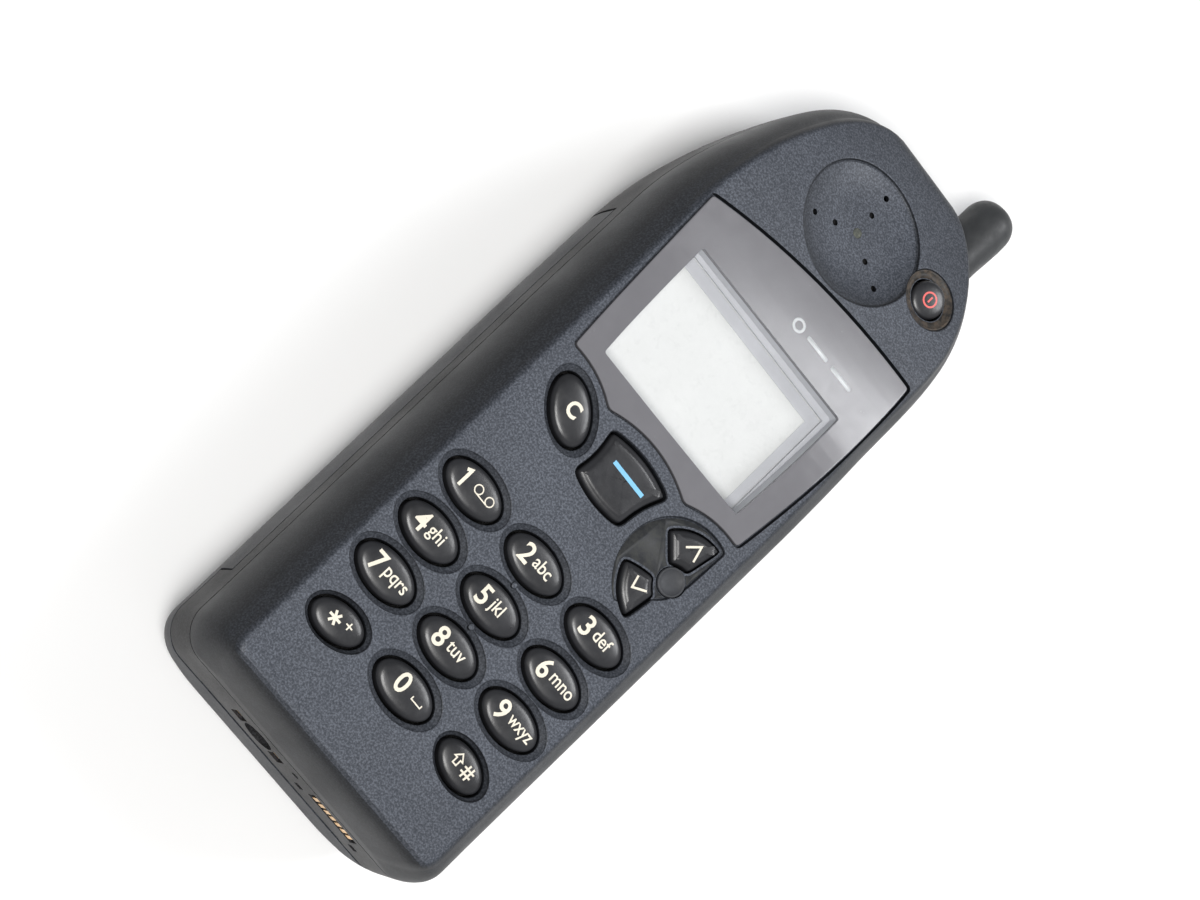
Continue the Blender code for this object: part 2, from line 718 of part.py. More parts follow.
def build_rear_housing(mat):
    """Rear tub: battery bay, connector chin, antenna seat and screw bosses."""
    bm = bmesh.new()
    rings = []
    for y in stations():
        rounding = back_rounding(y, BODY_BOTTOM, BODY_TOP)
        rings.append(back_section(y, 0.0, seam_z(y) - FIT, 0.0, rounding))
    add_loft(bm, rings)
    housing = finish("rear_housing", bm, (0, 0, 0), mat)

    lip = SIDE_WALL + FIT
    bm = bmesh.new()
    rings = []
    for y in stations(lip):
        width, shift = half_width(y, lip), centre_shift(y)
        top, low = seam_z(y) + LIP_HEIGHT, seam_z(y) - 2.0
        rings.append([(shift + width, y, low), (shift + width, y, top),
                      (shift - width, y, top), (shift - width, y, low)])
    add_loft(bm, rings)
    combine(housing, tool_body("guide_lip", bm), "UNION")

    bm = bmesh.new()
    add_box(bm, (-30, 30), (BAY_START, BAY_END), (-40.0, -BAY_FLOOR))
    combine(housing, tool_body("guide_bay", bm), "DIFFERENCE")
    bm = bmesh.new()
    add_box(bm, (-30, 30), (-50, BAY_START + 0.01), (-40.0, -CHIN_DEPTH))
    combine(housing, tool_body("guide_under_chin", bm), "DIFFERENCE")
    bm = bmesh.new()
    add_rod(bm, (-14, HINGE_Y, -HINGE_DEPTH), (14, HINGE_Y, -HINGE_DEPTH), HINGE_RADIUS + FIT, 16)
    combine(housing, tool_body("guide_hinge_groove", bm), "DIFFERENCE")

    inner = lip + LIP_WALL
    bm = bmesh.new()
    rings = []
    for y in stations(inner):
        width, shift = half_width(y, inner), centre_shift(y)
        rings.append([(shift + width, y, -FLOOR_TOP), (shift + width, y, 5.0),
                      (shift - width, y, 5.0), (shift - width, y, -FLOOR_TOP)])
    add_loft(bm, rings)
    combine(housing, tool_body("guide_main_hollow", bm), "DIFFERENCE")

    bm = bmesh.new()
    rings = []
    for y in stations(inner, BAY_END + 2.5):
        rounding = back_rounding(y, -99, BODY_TOP - 2, 3)
        rings.append(back_section(y, inner, -FLOOR_TOP + 1.0, BACK_WALL, rounding))
    add_loft(bm, rings)
    add_box(bm, (-15.5, 17.5), (BODY_BOTTOM + SIDE_WALL, BAY_START - 1.4),
            (-CHIN_DEPTH + 1.5, -FLOOR_TOP + 1.0))
    combine(housing, tool_body("guide_deep_hollows", bm), "DIFFERENCE")

    bm = bmesh.new()
    add_box(bm, (ANTENNA_X - 4.4, ANTENNA_X + 3.6), (ANTENNA_ROOT - 8.8, ANTENNA_ROOT - 0.5),
            (-ANTENNA_DEPTH - 5.2, -ANTENNA_DEPTH + 3.4))
    for x, y in SCREW_SPOTS:
        root = -BAY_FLOOR + 1.5 if y < BAY_END else back_z(y) + 1.8
        add_rod(bm, (x, y, root), (x, y, -BOARD_TOP - BOARD_THICKNESS - FIT), 2.0, 14)
    combine(housing, tool_body("guide_bosses", bm), "UNION")

    cut_housing_details(housing)
    return housing


def cut_housing_details(housing):
    """Antenna bore, screw holes, bottom-end openings, SIM channel and latch pocket."""
    bm = bmesh.new()
    z = -ANTENNA_DEPTH
    add_rod(bm, (ANTENNA_X, ANTENNA_ROOT - FIT, z), (ANTENNA_X, ANTENNA_TIP, z), ANTENNA_RADIUS + FIT, 24)
    for x, y in SCREW_SPOTS:
        add_rod(bm, (x, y, -BAY_FLOOR + 1.2), (x, y, -5.0), SCREW_SHAFT + FIT, 12)
    combine(housing, tool_body("guide_bores", bm), "DIFFERENCE")
    bm = bmesh.new()
    add_rod(bm, (ANTENNA_X, ANTENNA_ROOT - 6.8, z), (ANTENNA_X, ANTENNA_ROOT + 6.7, z), STUD_RADIUS + FIT, 16)
    combine(housing, tool_body("guide_stud_bore", bm), "DIFFERENCE")

    bm = bmesh.new()
    end = (BODY_BOTTOM - 3, END_FACE + 0.1)
    add_rod(bm, (JACK_X, end[0], -JACK_DEPTH), (JACK_X, end[1], -JACK_DEPTH), 2.4, 18)
    for side in (-1, 1):
        x = JACK_X + side * CHARGE_OFFSET
        add_box(bm, (x - 1.0, x + 1.0), end, (-JACK_DEPTH - 1.6, -JACK_DEPTH + 1.2))
    last = CONTACT_FIRST + CONTACT_PITCH * (CONTACT_COUNT - 1)
    z = -CONTACT_DEPTH
    add_box(bm, (CONTACT_FIRST - 1.0, last + 1.0), end, (z - 1.5, z + 1.1))
    add_rod(bm, (MICROPHONE_X, end[0], z), (MICROPHONE_X, end[1], z), 0.6, 10)
    for x in (CONTACT_FIRST - 2.2, last + 2.2):
        add_box(bm, (x - 0.6, x + 0.6), (end[0], BODY_BOTTOM + 1.1), (z - 3.6, z - 2.2))
    combine(housing, tool_body("guide_end_openings", bm), "DIFFERENCE")

    bm = bmesh.new()
    reach = SIM_LENGTH / 2 + 1.4 + FIT
    add_box(bm, (-reach, reach), (SIM_FRONT - SIM_TRAVEL - 1.5, SIM_FRONT + SIM_WIDTH + 1.6),
            (-20, -12.9))
    add_box(bm, (-9.3, 9.3), (34.5, 40.5), (-20, -10.0))
    combine(housing, tool_body("guide_floor_pockets", bm), "DIFFERENCE")

    bm = bmesh.new()
    add_box(bm, (-8.0, 8.0), (BAY_END - 1.0, BAY_END + 13.0), (-40.0, back_z(BAY_END) + 2.3))
    x, y = TEST_SOCKET
    add_rod(bm, (x, y, -40), (x, y, back_z(y) + 2.0), 2.6 + FIT, 16)
    combine(housing, tool_body("guide_back_pockets", bm), "DIFFERENCE")


# ------------------------------------------------------------------ inside the housing

def build_board(mat):
    """Main circuit board."""
    outline = []
    places = stations(BOARD_INSET, None, BOARD_END)
    for y in places:
        outline.append((half_width(y, BOARD_INSET) + centre_shift(y), y))
    for y in reversed(places):
        outline.append((-half_width(y, BOARD_INSET) + centre_shift(y), y))
    bm = bmesh.new()
    add_prism(bm, outline, -BOARD_TOP - BOARD_THICKNESS, -BOARD_TOP)
    board = finish("main_board", bm, (0, 0, 0), mat)
    bm = bmesh.new()
    for x, y in SCREW_SPOTS:
        add_rod(bm, (x, y, -12.0), (x, y, -5.0), SCREW_SHAFT + FIT, 12)
    combine(board, tool_body("guide_board_holes", bm), "DIFFERENCE")
    return board


def build_display(mats):
    """Frame, light guide and glass of the display; the frame drops over both."""
    width, low, high = LCD_HALF_WIDTH, LCD_BOTTOM, LCD_TOP
    glass_top = -LCD_FRAME_TOP - LCD_FLANGE - FIT
    bm = bmesh.new()
    add_box(bm, (-width - 1.6, width + 1.6), (low - 1.6, high + 1.6), (-7.7, -LCD_FRAME_TOP))
    frame = finish("lcd_frame", bm, (0, 0, 0), mats["white"])
    bm = bmesh.new()
    add_box(bm, (-width - FIT, width + FIT), (low - FIT, high + FIT),
            (-9.0, -LCD_FRAME_TOP - LCD_FLANGE))
    combine(frame, tool_body("guide_lcd_tray", bm), "DIFFERENCE")
    bm = bmesh.new()
    half = LCD_VIEW_HALF_WIDTH
    add_box(bm, (-half, half), (LCD_VIEW_BOTTOM, LCD_VIEW_TOP), (-8.5, 0.0))
    combine(frame, tool_body("guide_lcd_view", bm), "DIFFERENCE")
    bm = bmesh.new()
    add_box(bm, (-width, width), (low, high), (-6.8, glass_top - 1.2))
    finish("light_guide", bm, (0, LCD_BOTTOM, 0), mats["clear"])
    bm = bmesh.new()
    add_box(bm, (-width, width), (low, high), (glass_top - 1.0, glass_top))
    finish("lcd_glass", bm, (0, LCD_BOTTOM, 0), mats["glass"])


def build_board_parts(mats):
    """Shields and small parts on the underside of the board."""
    under = -BOARD_TOP - BOARD_THICKNESS - FIT
    side = half_width(72.0, SIDE_WALL + FIT + LIP_WALL) + centre_shift(72.0) - POWER_BOARD_GAP
    boxes = (("rf_shield", (-14.0, 14.0), (28.5, 50.5), (under - 2.2, under), "steel"),
             ("baseband_shield", (-14.5, 14.5), (-24.0, 25.5), (under - 2.0, under), "steel"),
             ("power_board", (POWER_KEY[0] - 3.8, side), (61.5, 72.0), (-15.9, -15.1), "board"))
    for name, x, y, z, mat in boxes:
        bm = bmesh.new()
        add_box(bm, x, y, z)
        finish(name, bm, (sum(x) / 2, sum(y) / 2, z[0]), mats[mat])
    bm = bmesh.new()
    add_rod(bm, (-9.5, 64.0, -20.0), (-9.5, 64.0, -16.0), 5.0, 24)
    finish("buzzer", bm, (-9.5, 64.0, -20.0), mats["black"])
    bm = bmesh.new()
    add_rod(bm, (-4.0, 54.2, under - 1.8), (-4.0, 54.2, under), 3.0, 16)
    finish("backup_cell", bm, (-4.0, 54.2, under), mats["steel"])
    bm = bmesh.new()
    add_rod(bm, (MICROPHONE_X, END_FACE, -CONTACT_DEPTH),
            (MICROPHONE_X, END_FACE + 3.2, -CONTACT_DEPTH), 1.6, 16)
    finish("microphone", bm, (MICROPHONE_X, END_FACE, -CONTACT_DEPTH), mats["steel"])


def build_bottom_connectors(mats):
    """DC jack, charging contacts and the row of data contacts in the chin."""
    bm = bmesh.new()
    front, rear = END_FACE + 0.1, BAY_START - 1.8
    add_box(bm, (JACK_X - 2.35, JACK_X + 2.35), (front, rear), (-JACK_DEPTH - 2.6, -JACK_DEPTH + 2.6))
    jack = finish("dc_jack", bm, (JACK_X, front, -JACK_DEPTH), mats["black"])
    bm = bmesh.new()
    add_rod(bm, (JACK_X, front - 1, -JACK_DEPTH), (JACK_X, rear - 2, -JACK_DEPTH), 1.75, 18)
    combine(jack, tool_body("guide_jack_bore", bm), "DIFFERENCE")
    bm = bmesh.new()
    add_rod(bm, (JACK_X, front + 0.6, -JACK_DEPTH), (JACK_X, rear - 1, -JACK_DEPTH), 0.5, 10)
    combine(jack, tool_body("guide_jack_pin", bm), "UNION")

    for name, side in (("charge_contact_left", -1), ("charge_contact_right", 1)):
        x = JACK_X + side * CHARGE_OFFSET
        tip, root = BODY_BOTTOM + 0.4, BODY_BOTTOM + 4.8
        profile = ((tip, -16.7), (tip + 0.6, -16.7), (tip + 0.6, -14.9),
                   (root, -14.9), (root, -14.5), (tip, -14.5))
        bm = bmesh.new()
        add_loft(bm, [[(px, y, z) for y, z in profile] for px in (x - 0.7, x + 0.7)])
        finish(name, bm, (x, tip + 0.3, -15.6), mats["gold"])

    last = CONTACT_FIRST + CONTACT_PITCH * (CONTACT_COUNT - 1)
    bm = bmesh.new()
    front = BODY_BOTTOM + 1.0
    add_box(bm, (CONTACT_FIRST - 1.0 + FIT, last + 1.0 - FIT), (front, front + 7.3),
            (-CONTACT_DEPTH - 1.2, -CONTACT_DEPTH + 0.5))
    finish("system_connector", bm, (CONTACT_FIRST, front, -CONTACT_DEPTH), mats["black"])
    bm = bmesh.new()
    top = -CONTACT_DEPTH + 0.8
    half = CONTACT_WIDTH / 2
    tip, root = BODY_BOTTOM + 0.4, BODY_BOTTOM + 5.3
    outline = [(CONTACT_FIRST - half, root), (last + half, root)]
    for i in reversed(range(CONTACT_COUNT)):
        x = CONTACT_FIRST + CONTACT_PITCH * i
        outline += [(x + half, root - 1.0), (x + half, tip), (x - half, tip), (x - half, root - 1.0)]
    outline = clean_outline(outline)
    add_prism(bm, outline, top, top + 0.25)
    finish("connector_contacts", bm, (CONTACT_FIRST, tip + 0.9, top), mats["gold"])


def clean_outline(points):
    """Drop points that lie on the straight line between their neighbours."""
    kept = []
    count = len(points)
    for i, (x, y) in enumerate(points):
        ax, ay = points[i - 1]
        bx, by = points[(i + 1) % count]
        if abs((x - ax) * (by - ay) - (y - ay) * (bx - ax)) > 1e-6:
            kept.append((x, y))
    return kept


def build_sim(mats):
    """SIM holder in the bay floor and the card that slides in it."""
    reach = SIM_LENGTH / 2
    front, rear = SIM_FRONT + 0.4, SIM_FRONT + SIM_WIDTH + 1.0
    section = ((-reach - 1.4, -15.0), (-reach + 1.2, -15.0), (-reach + 1.2, -14.7),
               (-reach - 0.4, -14.7), (-reach - 0.4, -13.5), (reach + 0.4, -13.5),
               (reach + 0.4, -14.7), (reach - 1.2, -14.7), (reach - 1.2, -15.0),
               (reach + 1.4, -15.0), (reach + 1.4, -13.2), (-reach - 1.4, -13.2))
    bm = bmesh.new()
    add_loft(bm, [[(x, y, z) for x, z in section] for y in (front, rear)])
    finish("sim_holder", bm, (0, front, -13.2), mats["steel"])
    outline = ((-reach, SIM_FRONT), (reach, SIM_FRONT), (reach, SIM_FRONT + SIM_WIDTH - 3.0),
               (reach - 3.0, SIM_FRONT + SIM_WIDTH), (-reach, SIM_FRONT + SIM_WIDTH))
    bm = bmesh.new()
    add_prism(bm, outline, -14.4, -13.8)
    finish("sim_card", bm, (0, SIM_FRONT, -14.1), mats["card"])


def build_terminals(mats):
    """Battery terminal block in the bay floor."""
    bm = bmesh.new()
    add_box(bm, (-9.0, 9.0), (34.8, 40.2), (-BAY_FLOOR + 0.6, -BAY_FLOOR + 3.2))
    block = finish("battery_terminals", bm, (0, 37.5, -BAY_FLOOR + 0.6), mats["gold"])
    bm = bmesh.new()
    for i in range(4):
        x = -6.6 + 4.4 * i
        add_box(bm, (x - 1.1, x + 1.1), (36.0, 39.0), (-BAY_FLOOR + 0.1, -BAY_FLOOR + 1.0))
    combine(block, tool_body("guide_terminal_pads", bm), "UNION")
    return block


def build_antenna(mats):
    """Rubber stub and the stud that holds it."""
    z = -ANTENNA_DEPTH
    profile = ((ANTENNA_RADIUS - 0.25, ANTENNA_ROOT), (ANTENNA_RADIUS - 0.25, ANTENNA_TIP - 9.0),
               (ANTENNA_RADIUS, ANTENNA_TIP - 5.0), (ANTENNA_RADIUS, ANTENNA_TIP - 3.2),
               (ANTENNA_RADIUS * 0.86, ANTENNA_TIP - 1.4), (ANTENNA_RADIUS * 0.6, ANTENNA_TIP - 0.4),
               (ANTENNA_RADIUS * 0.25, ANTENNA_TIP))
    rings = []
    for radius, y in profile:
        circle = ellipse((ANTENNA_X, z), (radius, radius), 0, 24)
        rings.append([(px, y, pz) for px, pz in circle])
    bm = bmesh.new()
    add_loft(bm, rings)
    stub = finish("antenna_stub", bm, (ANTENNA_X, ANTENNA_ROOT, z), mats["rubber"])
    bm = bmesh.new()
    add_rod(bm, (ANTENNA_X, ANTENNA_ROOT - 1, z), (ANTENNA_X, ANTENNA_ROOT + 5.3, z),
            STUD_RADIUS + FIT, 16)
    combine(stub, tool_body("guide_stub_socket", bm), "DIFFERENCE")
    bm = bmesh.new()
    root = ANTENNA_ROOT - 6.5
    add_rod(bm, (ANTENNA_X, root, z), (ANTENNA_X, ANTENNA_ROOT + 5.0, z), STUD_RADIUS, 16)
    finish("antenna_stud", bm, (ANTENNA_X, root, z), mats["brass"])


def build_test_plug(mat):
    """Rubber plug over the aerial test socket on the back."""
    x, y = TEST_SOCKET
    bm = bmesh.new()
    add_rod(bm, (x, y, back_z(y) + 0.1), (x, y, back_z(y) + 1.7), 2.6, 16)
    finish("test_socket_plug", bm, (x, y, back_z(y)), mat)


def build_screws(mat):
    """Four screws through the board into the housing bosses."""
    for number, (x, y) in enumerate(SCREW_SPOTS, 1):
        head = -BOARD_TOP + FIT
        bm = bmesh.new()
        profile = ((SCREW_SHAFT, -12.6), (SCREW_SHAFT, head),
                   (SCREW_HEAD, head), (SCREW_HEAD, head + 1.0),
                   (SCREW_HEAD * 0.7, head + 1.4), (0.7, head + 1.4), (0.7, head + 0.6))
        add_loft(bm, [[(px, py, z) for px, py in ellipse((x, y), (r, r), 0, 12)]
                      for r, z in profile])
        finish("screw_%d" % number, bm, (x, y, head), mat)


# ------------------------------------------------------------------ battery and latch

def build_battery(mats):
    """The whole battery pack, which swings about its bottom edge."""
    origin = (0, HINGE_Y, -HINGE_DEPTH)
    top = -BAY_FLOOR - FIT
    end = BAY_END - END_GAP
    build_battery_case(mats["shell"], origin, top, end)
    build_battery_lid(mats["shell"], origin, top, end)
    build_battery_contacts(mats["gold"], origin, top)
    build_battery_cells(mats["cell"], origin, top)


def build_battery_case(mat, origin, top, end):
    """Outer shell of the pack with its two hinge bars."""
    bm = bmesh.new()
    rings = []
    for y in stations(0.0, None, end):
        rounding = back_rounding(y, BODY_BOTTOM, 999)
        rings.append(back_section(y, 0.0, top, 0.0, rounding))
    add_loft(bm, rings)
    case = finish("battery_case", bm, origin, mat)
    bm = bmesh.new()
    low = -CHIN_DEPTH - FIT
    side = ((BODY_BOTTOM - 3, low - 2.4), (HINGE_Y - 0.2, low), (BAY_START + FIT, low),
            (BAY_START + FIT, 0.0), (BODY_BOTTOM - 3, 0.0))
    add_loft(bm, [[(x, y, z) for y, z in side] for x in (-30, 30)])
    combine(case, tool_body("guide_chin_room", bm, origin), "DIFFERENCE")
    bm = bmesh.new()
    rings = []
    for y in (BAY_START + 2.0, 0.0, 30.0, end - 1.6):
        rings.append(back_section(y, SIDE_WALL, 0.0, 1.6))
    add_loft(bm, rings)
    combine(case, tool_body("guide_cell_room", bm, origin), "DIFFERENCE")
    bm = bmesh.new()
    bar = []
    for step in range(0, 181, 20):
        a = math.radians(step)
        bar.append((HINGE_Y + HINGE_RADIUS * math.cos(a), HINGE_RADIUS * math.sin(a)))
    bar += [(HINGE_Y - HINGE_RADIUS * 0.6, -2.6), (HINGE_Y + HINGE_RADIUS, -2.6)]
    for x in (-8.0, 8.0):
        add_loft(bm, [[(px, y, z - HINGE_DEPTH) for y, z in bar] for px in (x - 5, x + 5)])
    combine(case, tool_body("guide_hinge_bars", bm, origin), "UNION")
    return case


def build_battery_lid(mat, origin, top, end):
    """Inner lid that closes the pack, slotted for the contacts."""
    inset = SIDE_WALL + FIT
    outline = []
    for y in (BAY_START + 2.3, 30.0, end - 1.9):
        outline.append((half_width(y, inset), y))
    for y in (end - 1.9, 30.0, BAY_START + 2.3):
        outline.append((-half_width(y, inset), y))
    bm = bmesh.new()
    add_prism(bm, outline, top - 1.1, top)
    lid = finish("battery_lid", bm, origin, mat)
    bm = bmesh.new()
    add_box(bm, (-9.0, 9.0), (35.0, 40.0), (-30, 0))
    combine(lid, tool_body("guide_contact_slot", bm, origin), "DIFFERENCE")
    return lid


def build_battery_contacts(mat, origin, top):
    """Four joined contact pads in the slot of the lid."""
    bm = bmesh.new()
    add_box(bm, (-8.7, 8.7), (35.3, 39.7), (top - 0.7, top - 0.2))
    pads = finish("battery_contacts", bm, origin, mat)
    bm = bmesh.new()
    for i in range(5):
        x = -8.8 + 4.4 * i
        add_box(bm, (x - 0.7, x + 0.7), (34.0, 41.0), (top - 0.35, top + 1.0))
    combine(pads, tool_body("guide_pad_gaps", bm, origin), "DIFFERENCE")
    return pads


def build_battery_cells(mat, origin, top):
    """Three flat cells lying side by side in the pack."""
    width, length, height = CELL_SIZE
    corner = CELL_CORNER
    high = top - 1.4
    low = high - height
    for number in (1, 2, 3):
        left = (number - 2) * (width + 0.4) - width / 2
        right = left + width
        corners = ((left, low + corner), (left + corner, low), (right - corner, low),
                   (right, low + corner), (right, high - corner), (right - corner, high),
                   (left + corner, high), (left, high - corner))
        section = bowed_outline(corners, (CELL_BULGE,) * 8, 2)
        bm = bmesh.new()
        add_loft(bm, [[(px, y, pz) for px, pz in section]
                      for y in (BAY_START + 3.0, BAY_START + 3.0 + length)])
        finish("battery_cell_%d" % number, bm, origin, mat)


def build_latch(mat):
    """Sliding catch above the battery, with finger grooves."""
    back = back_z(BAY_END)
    low, high = BAY_END + 1.0, BAY_END + 9.5
    bm = bmesh.new()
    add_box(bm, (-7.6, 7.6), (low, high), (back + 0.7, back + 2.0))
    latch = finish("battery_latch", bm, (0, (low + high) / 2, back + 1.4), mat)
    bm = bmesh.new()
    add_box(bm, (-5.6, 5.6), (low + 3.2, high - 1.0), (back + 0.3, back + 1.0))
    combine(latch, tool_body("guide_latch_pad", bm), "UNION")
    bm = bmesh.new()
    for i in range(3):
        y = low + 4.2 + 1.3 * i
        add_box(bm, (-4.8, 4.8), (y - 0.25, y + 0.25), (back - 1, back + 0.6))
    combine(latch, tool_body("guide_latch_grooves", bm), "DIFFERENCE")
    return latch


# ------------------------------------------------------------------ assembly

def main():
    """Clear the scene and build every part."""
    for obj in list(bpy.data.objects):
        bpy.data.objects.remove(obj, do_unlink=True)
    mats = {
        "cover": material("cover_plastic", (0.075, 0.085, 0.11), 0.45),
        "shell": material("rear_plastic", (0.03, 0.033, 0.042), 0.5),
        "key": material("key_rubber", (0.012, 0.012, 0.014), 0.3),
        "window": material("window_plastic", (0.2, 0.2, 0.205), 0.12),
        "glass": material("display_glass", (0.72, 0.76, 0.72), 0.1),
        "white": material("frame_plastic", (0.75, 0.75, 0.73), 0.5),
        "clear": material("light_guide_plastic", (0.8, 0.85, 0.6), 0.2),
        "web": material("web_rubber", (0.05, 0.05, 0.055), 0.7),
        "dome": material("dome_film", (0.6, 0.55, 0.35), 0.35),
        "board": material("board_laminate", (0.03, 0.16, 0.07), 0.5),
        "steel": material("shield_steel", (0.62, 0.63, 0.64), 0.35, 1.0),
        "gold": material("contact_gold", (0.83, 0.6, 0.22), 0.3, 1.0),
        "brass": material("stud_brass", (0.75, 0.6, 0.3), 0.35, 1.0),
        "black": material("connector_plastic", (0.02, 0.02, 0.02), 0.5),
        "rubber": material("antenna_rubber", (0.035, 0.037, 0.04), 0.6),
        "foam": material("gasket_foam", (0.06, 0.06, 0.06), 0.9),
        "mesh": material("earpiece_cloth", (0.02, 0.02, 0.022), 0.8),
        "card": material("card_plastic", (0.85, 0.85, 0.83), 0.4),
        "cell": material("cell_sleeve", (0.1, 0.28, 0.42), 0.4),
    }
    build_rear_housing(mats["shell"])
    build_front_cover(mats["cover"])
    build_window(mats["window"])
    build_ear_parts(mats)
    build_keys(mats["key"])
    build_keypad_web(mats["web"])
    build_dome_sheet(mats["dome"])
    build_board(mats["board"])
    build_display(mats)
    build_board_parts(mats)
    build_bottom_connectors(mats)
    build_sim(mats)
    build_terminals(mats)
    build_antenna(mats)
    build_test_plug(mats["rubber"])
    build_screws(mats["steel"])
    build_battery(mats)
    build_latch(mats["shell"])


main()
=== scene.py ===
"""Looks for the early mobile brick phone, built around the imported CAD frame.

Shapes are drawn in phone millimetres: X across the face, Y along the phone toward the antenna,
Z out of the face, heights from the key plane.  to_frame() turns them into the row frame.
"""

import math

import bmesh
import bpy
from mathutils import Matrix, Vector


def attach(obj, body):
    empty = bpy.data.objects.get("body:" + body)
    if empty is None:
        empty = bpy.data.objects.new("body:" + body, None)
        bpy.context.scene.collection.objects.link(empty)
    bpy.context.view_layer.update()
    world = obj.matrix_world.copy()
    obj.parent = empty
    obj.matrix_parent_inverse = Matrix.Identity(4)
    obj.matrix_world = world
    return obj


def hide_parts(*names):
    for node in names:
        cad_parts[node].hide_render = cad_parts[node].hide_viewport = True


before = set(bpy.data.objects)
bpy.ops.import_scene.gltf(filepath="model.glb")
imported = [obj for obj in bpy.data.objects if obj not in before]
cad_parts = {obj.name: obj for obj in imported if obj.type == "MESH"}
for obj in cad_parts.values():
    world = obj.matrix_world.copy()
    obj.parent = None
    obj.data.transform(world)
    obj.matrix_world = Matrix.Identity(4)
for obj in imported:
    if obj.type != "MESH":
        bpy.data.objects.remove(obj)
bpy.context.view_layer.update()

# ------------------------------------------------------------------ sizes, in millimetres
MIDDLE_Y = 27.7
THICKNESS = 30.6
BOTTOM, TOP = -38.3, 85.4
HALF_WIDTH, HALF_WIDTH_LOW = 23.62, 22.9
CORNER = 4.6
SHOULDER_START, SHOULDER_POWER, SHOULDER_ROOT, SHOULDER_SHIFT = 46.2, 2.1, 3.1, 2.6
CURVE_START, CURVE_RATE = 33.0, 0.0095
SEAM_DEPTH, SEAM_RATE = 11.0, 0.005
CREASE, CREASE_TOP, SHOULDER = 3.1, 2.1, 1.3
FIT = 0.3
HINGE_Y, HINGE_DEPTH = -37.3, 20.15
BAY_START, BAY_END, BAY_FLOOR, CHIN_DEPTH = -27.0, 45.0, 15.0, 20.0
BACK_RISE = 0.17
KEY_ROWS, KEY_PITCH = (0.0, -7.9, -15.6), 12.5
EAR, EAR_RADIUS = (0.0, 67.4), 10.3
POWER, POWER_RADIUS, POWER_DISH = (13.8, 69.7), 2.7, 4.4
DOT, DOT_RADIUS = (14.5, 12.7), 2.1
ANTENNA_X, ANTENNA_DEPTH, ANTENNA_RADIUS, ANTENNA_ROOT, ANTENNA_TIP = 16.4, 20.6, 3.9, 68.3, 93.7


def to_frame(x, y, z):
    """Phone millimetres to metres in the row frame."""
    return Vector((x, y - MIDDLE_Y, z + THICKNESS)) * 0.001


# ------------------------------------------------------------------ shape rules shared by the shells
def face_drop(y):
    reach = max(0.0, y - CURVE_START)
    return 0.5 * CURVE_RATE * reach * reach


def seam_z(y):
    reach = max(0.0, y - CURVE_START)
    return -SEAM_DEPTH - 0.5 * SEAM_RATE * reach * reach


def back_z(y):
    """The back climbs toward the antenna, starting softly."""
    reach = max(0.0, y - BAY_END)
    return -THICKNESS + BACK_RISE * reach


def end_drop(distance):
    """Rounding of the face into an end wall."""
    return 9.0 * max(0.0, 1.0 - distance / 3.4) ** 3.5


def half_width(y, inset=0.0):
    blend = min(1.0, max(0.0, (y + 30.0) / 60.0))
    width = HALF_WIDTH_LOW + (HALF_WIDTH - HALF_WIDTH_LOW) * blend - inset
    radius = max(CORNER - inset, 0.8)
    into = BOTTOM + inset + radius - y
    if into > 0:
        into = min(into, radius)
        width -= radius - math.sqrt(radius * radius - into * into)
    if y > SHOULDER_START:
        t = min(0.9999, (y - SHOULDER_START) / (TOP - inset - SHOULDER_START))
        width *= (1 - t ** SHOULDER_POWER) ** (1 / SHOULDER_ROOT)
    return width


def centre_shift(y):
    t = min(1.0, max(0.0, (y - SHOULDER_START) / 30.0))
    return SHOULDER_SHIFT * t * t * (3 - 2 * t)


def stations(inset=0.0, start=None, end=None, step=1.6):
    """Places along Y where a shell section is drawn, closer together at both ends."""
    low = BOTTOM + inset
    places = [low + d for d in (0.0, 0.06, 0.16, 0.32, 0.55, 0.85, 1.2, 1.6, 2.05, 2.55, 3.1, 3.7, 4.5)]
    y = low + 5.6
    while y < SHOULDER_START:
        places.append(y)
        y += step
    length = TOP - inset - SHOULDER_START
    count = 34
    places += [SHOULDER_START + length * math.sin(0.5 * math.pi * i / count) for i in range(count)]
    places.append(TOP - inset - 0.03)
    if start is not None:
        places = [start] + [p for p in places if p > start + 0.2]
    if end is not None:
        places = [p for p in places if p < end - 0.2] + [end]
    return places


def bezier(p0, p1, p2, p3, steps):
    """Points of a cubic after its first point."""
    points = []
    for i in range(1, steps + 1):
        t = i / steps
        a, b, c, d = (1 - t) ** 3, 3 * t * (1 - t) ** 2, 3 * t * t * (1 - t), t ** 3
        points.append((a * p0[0] + b * p1[0] + c * p2[0] + d * p3[0],
                       a * p0[1] + b * p1[1] + c * p2[1] + d * p3[1]))
    return points


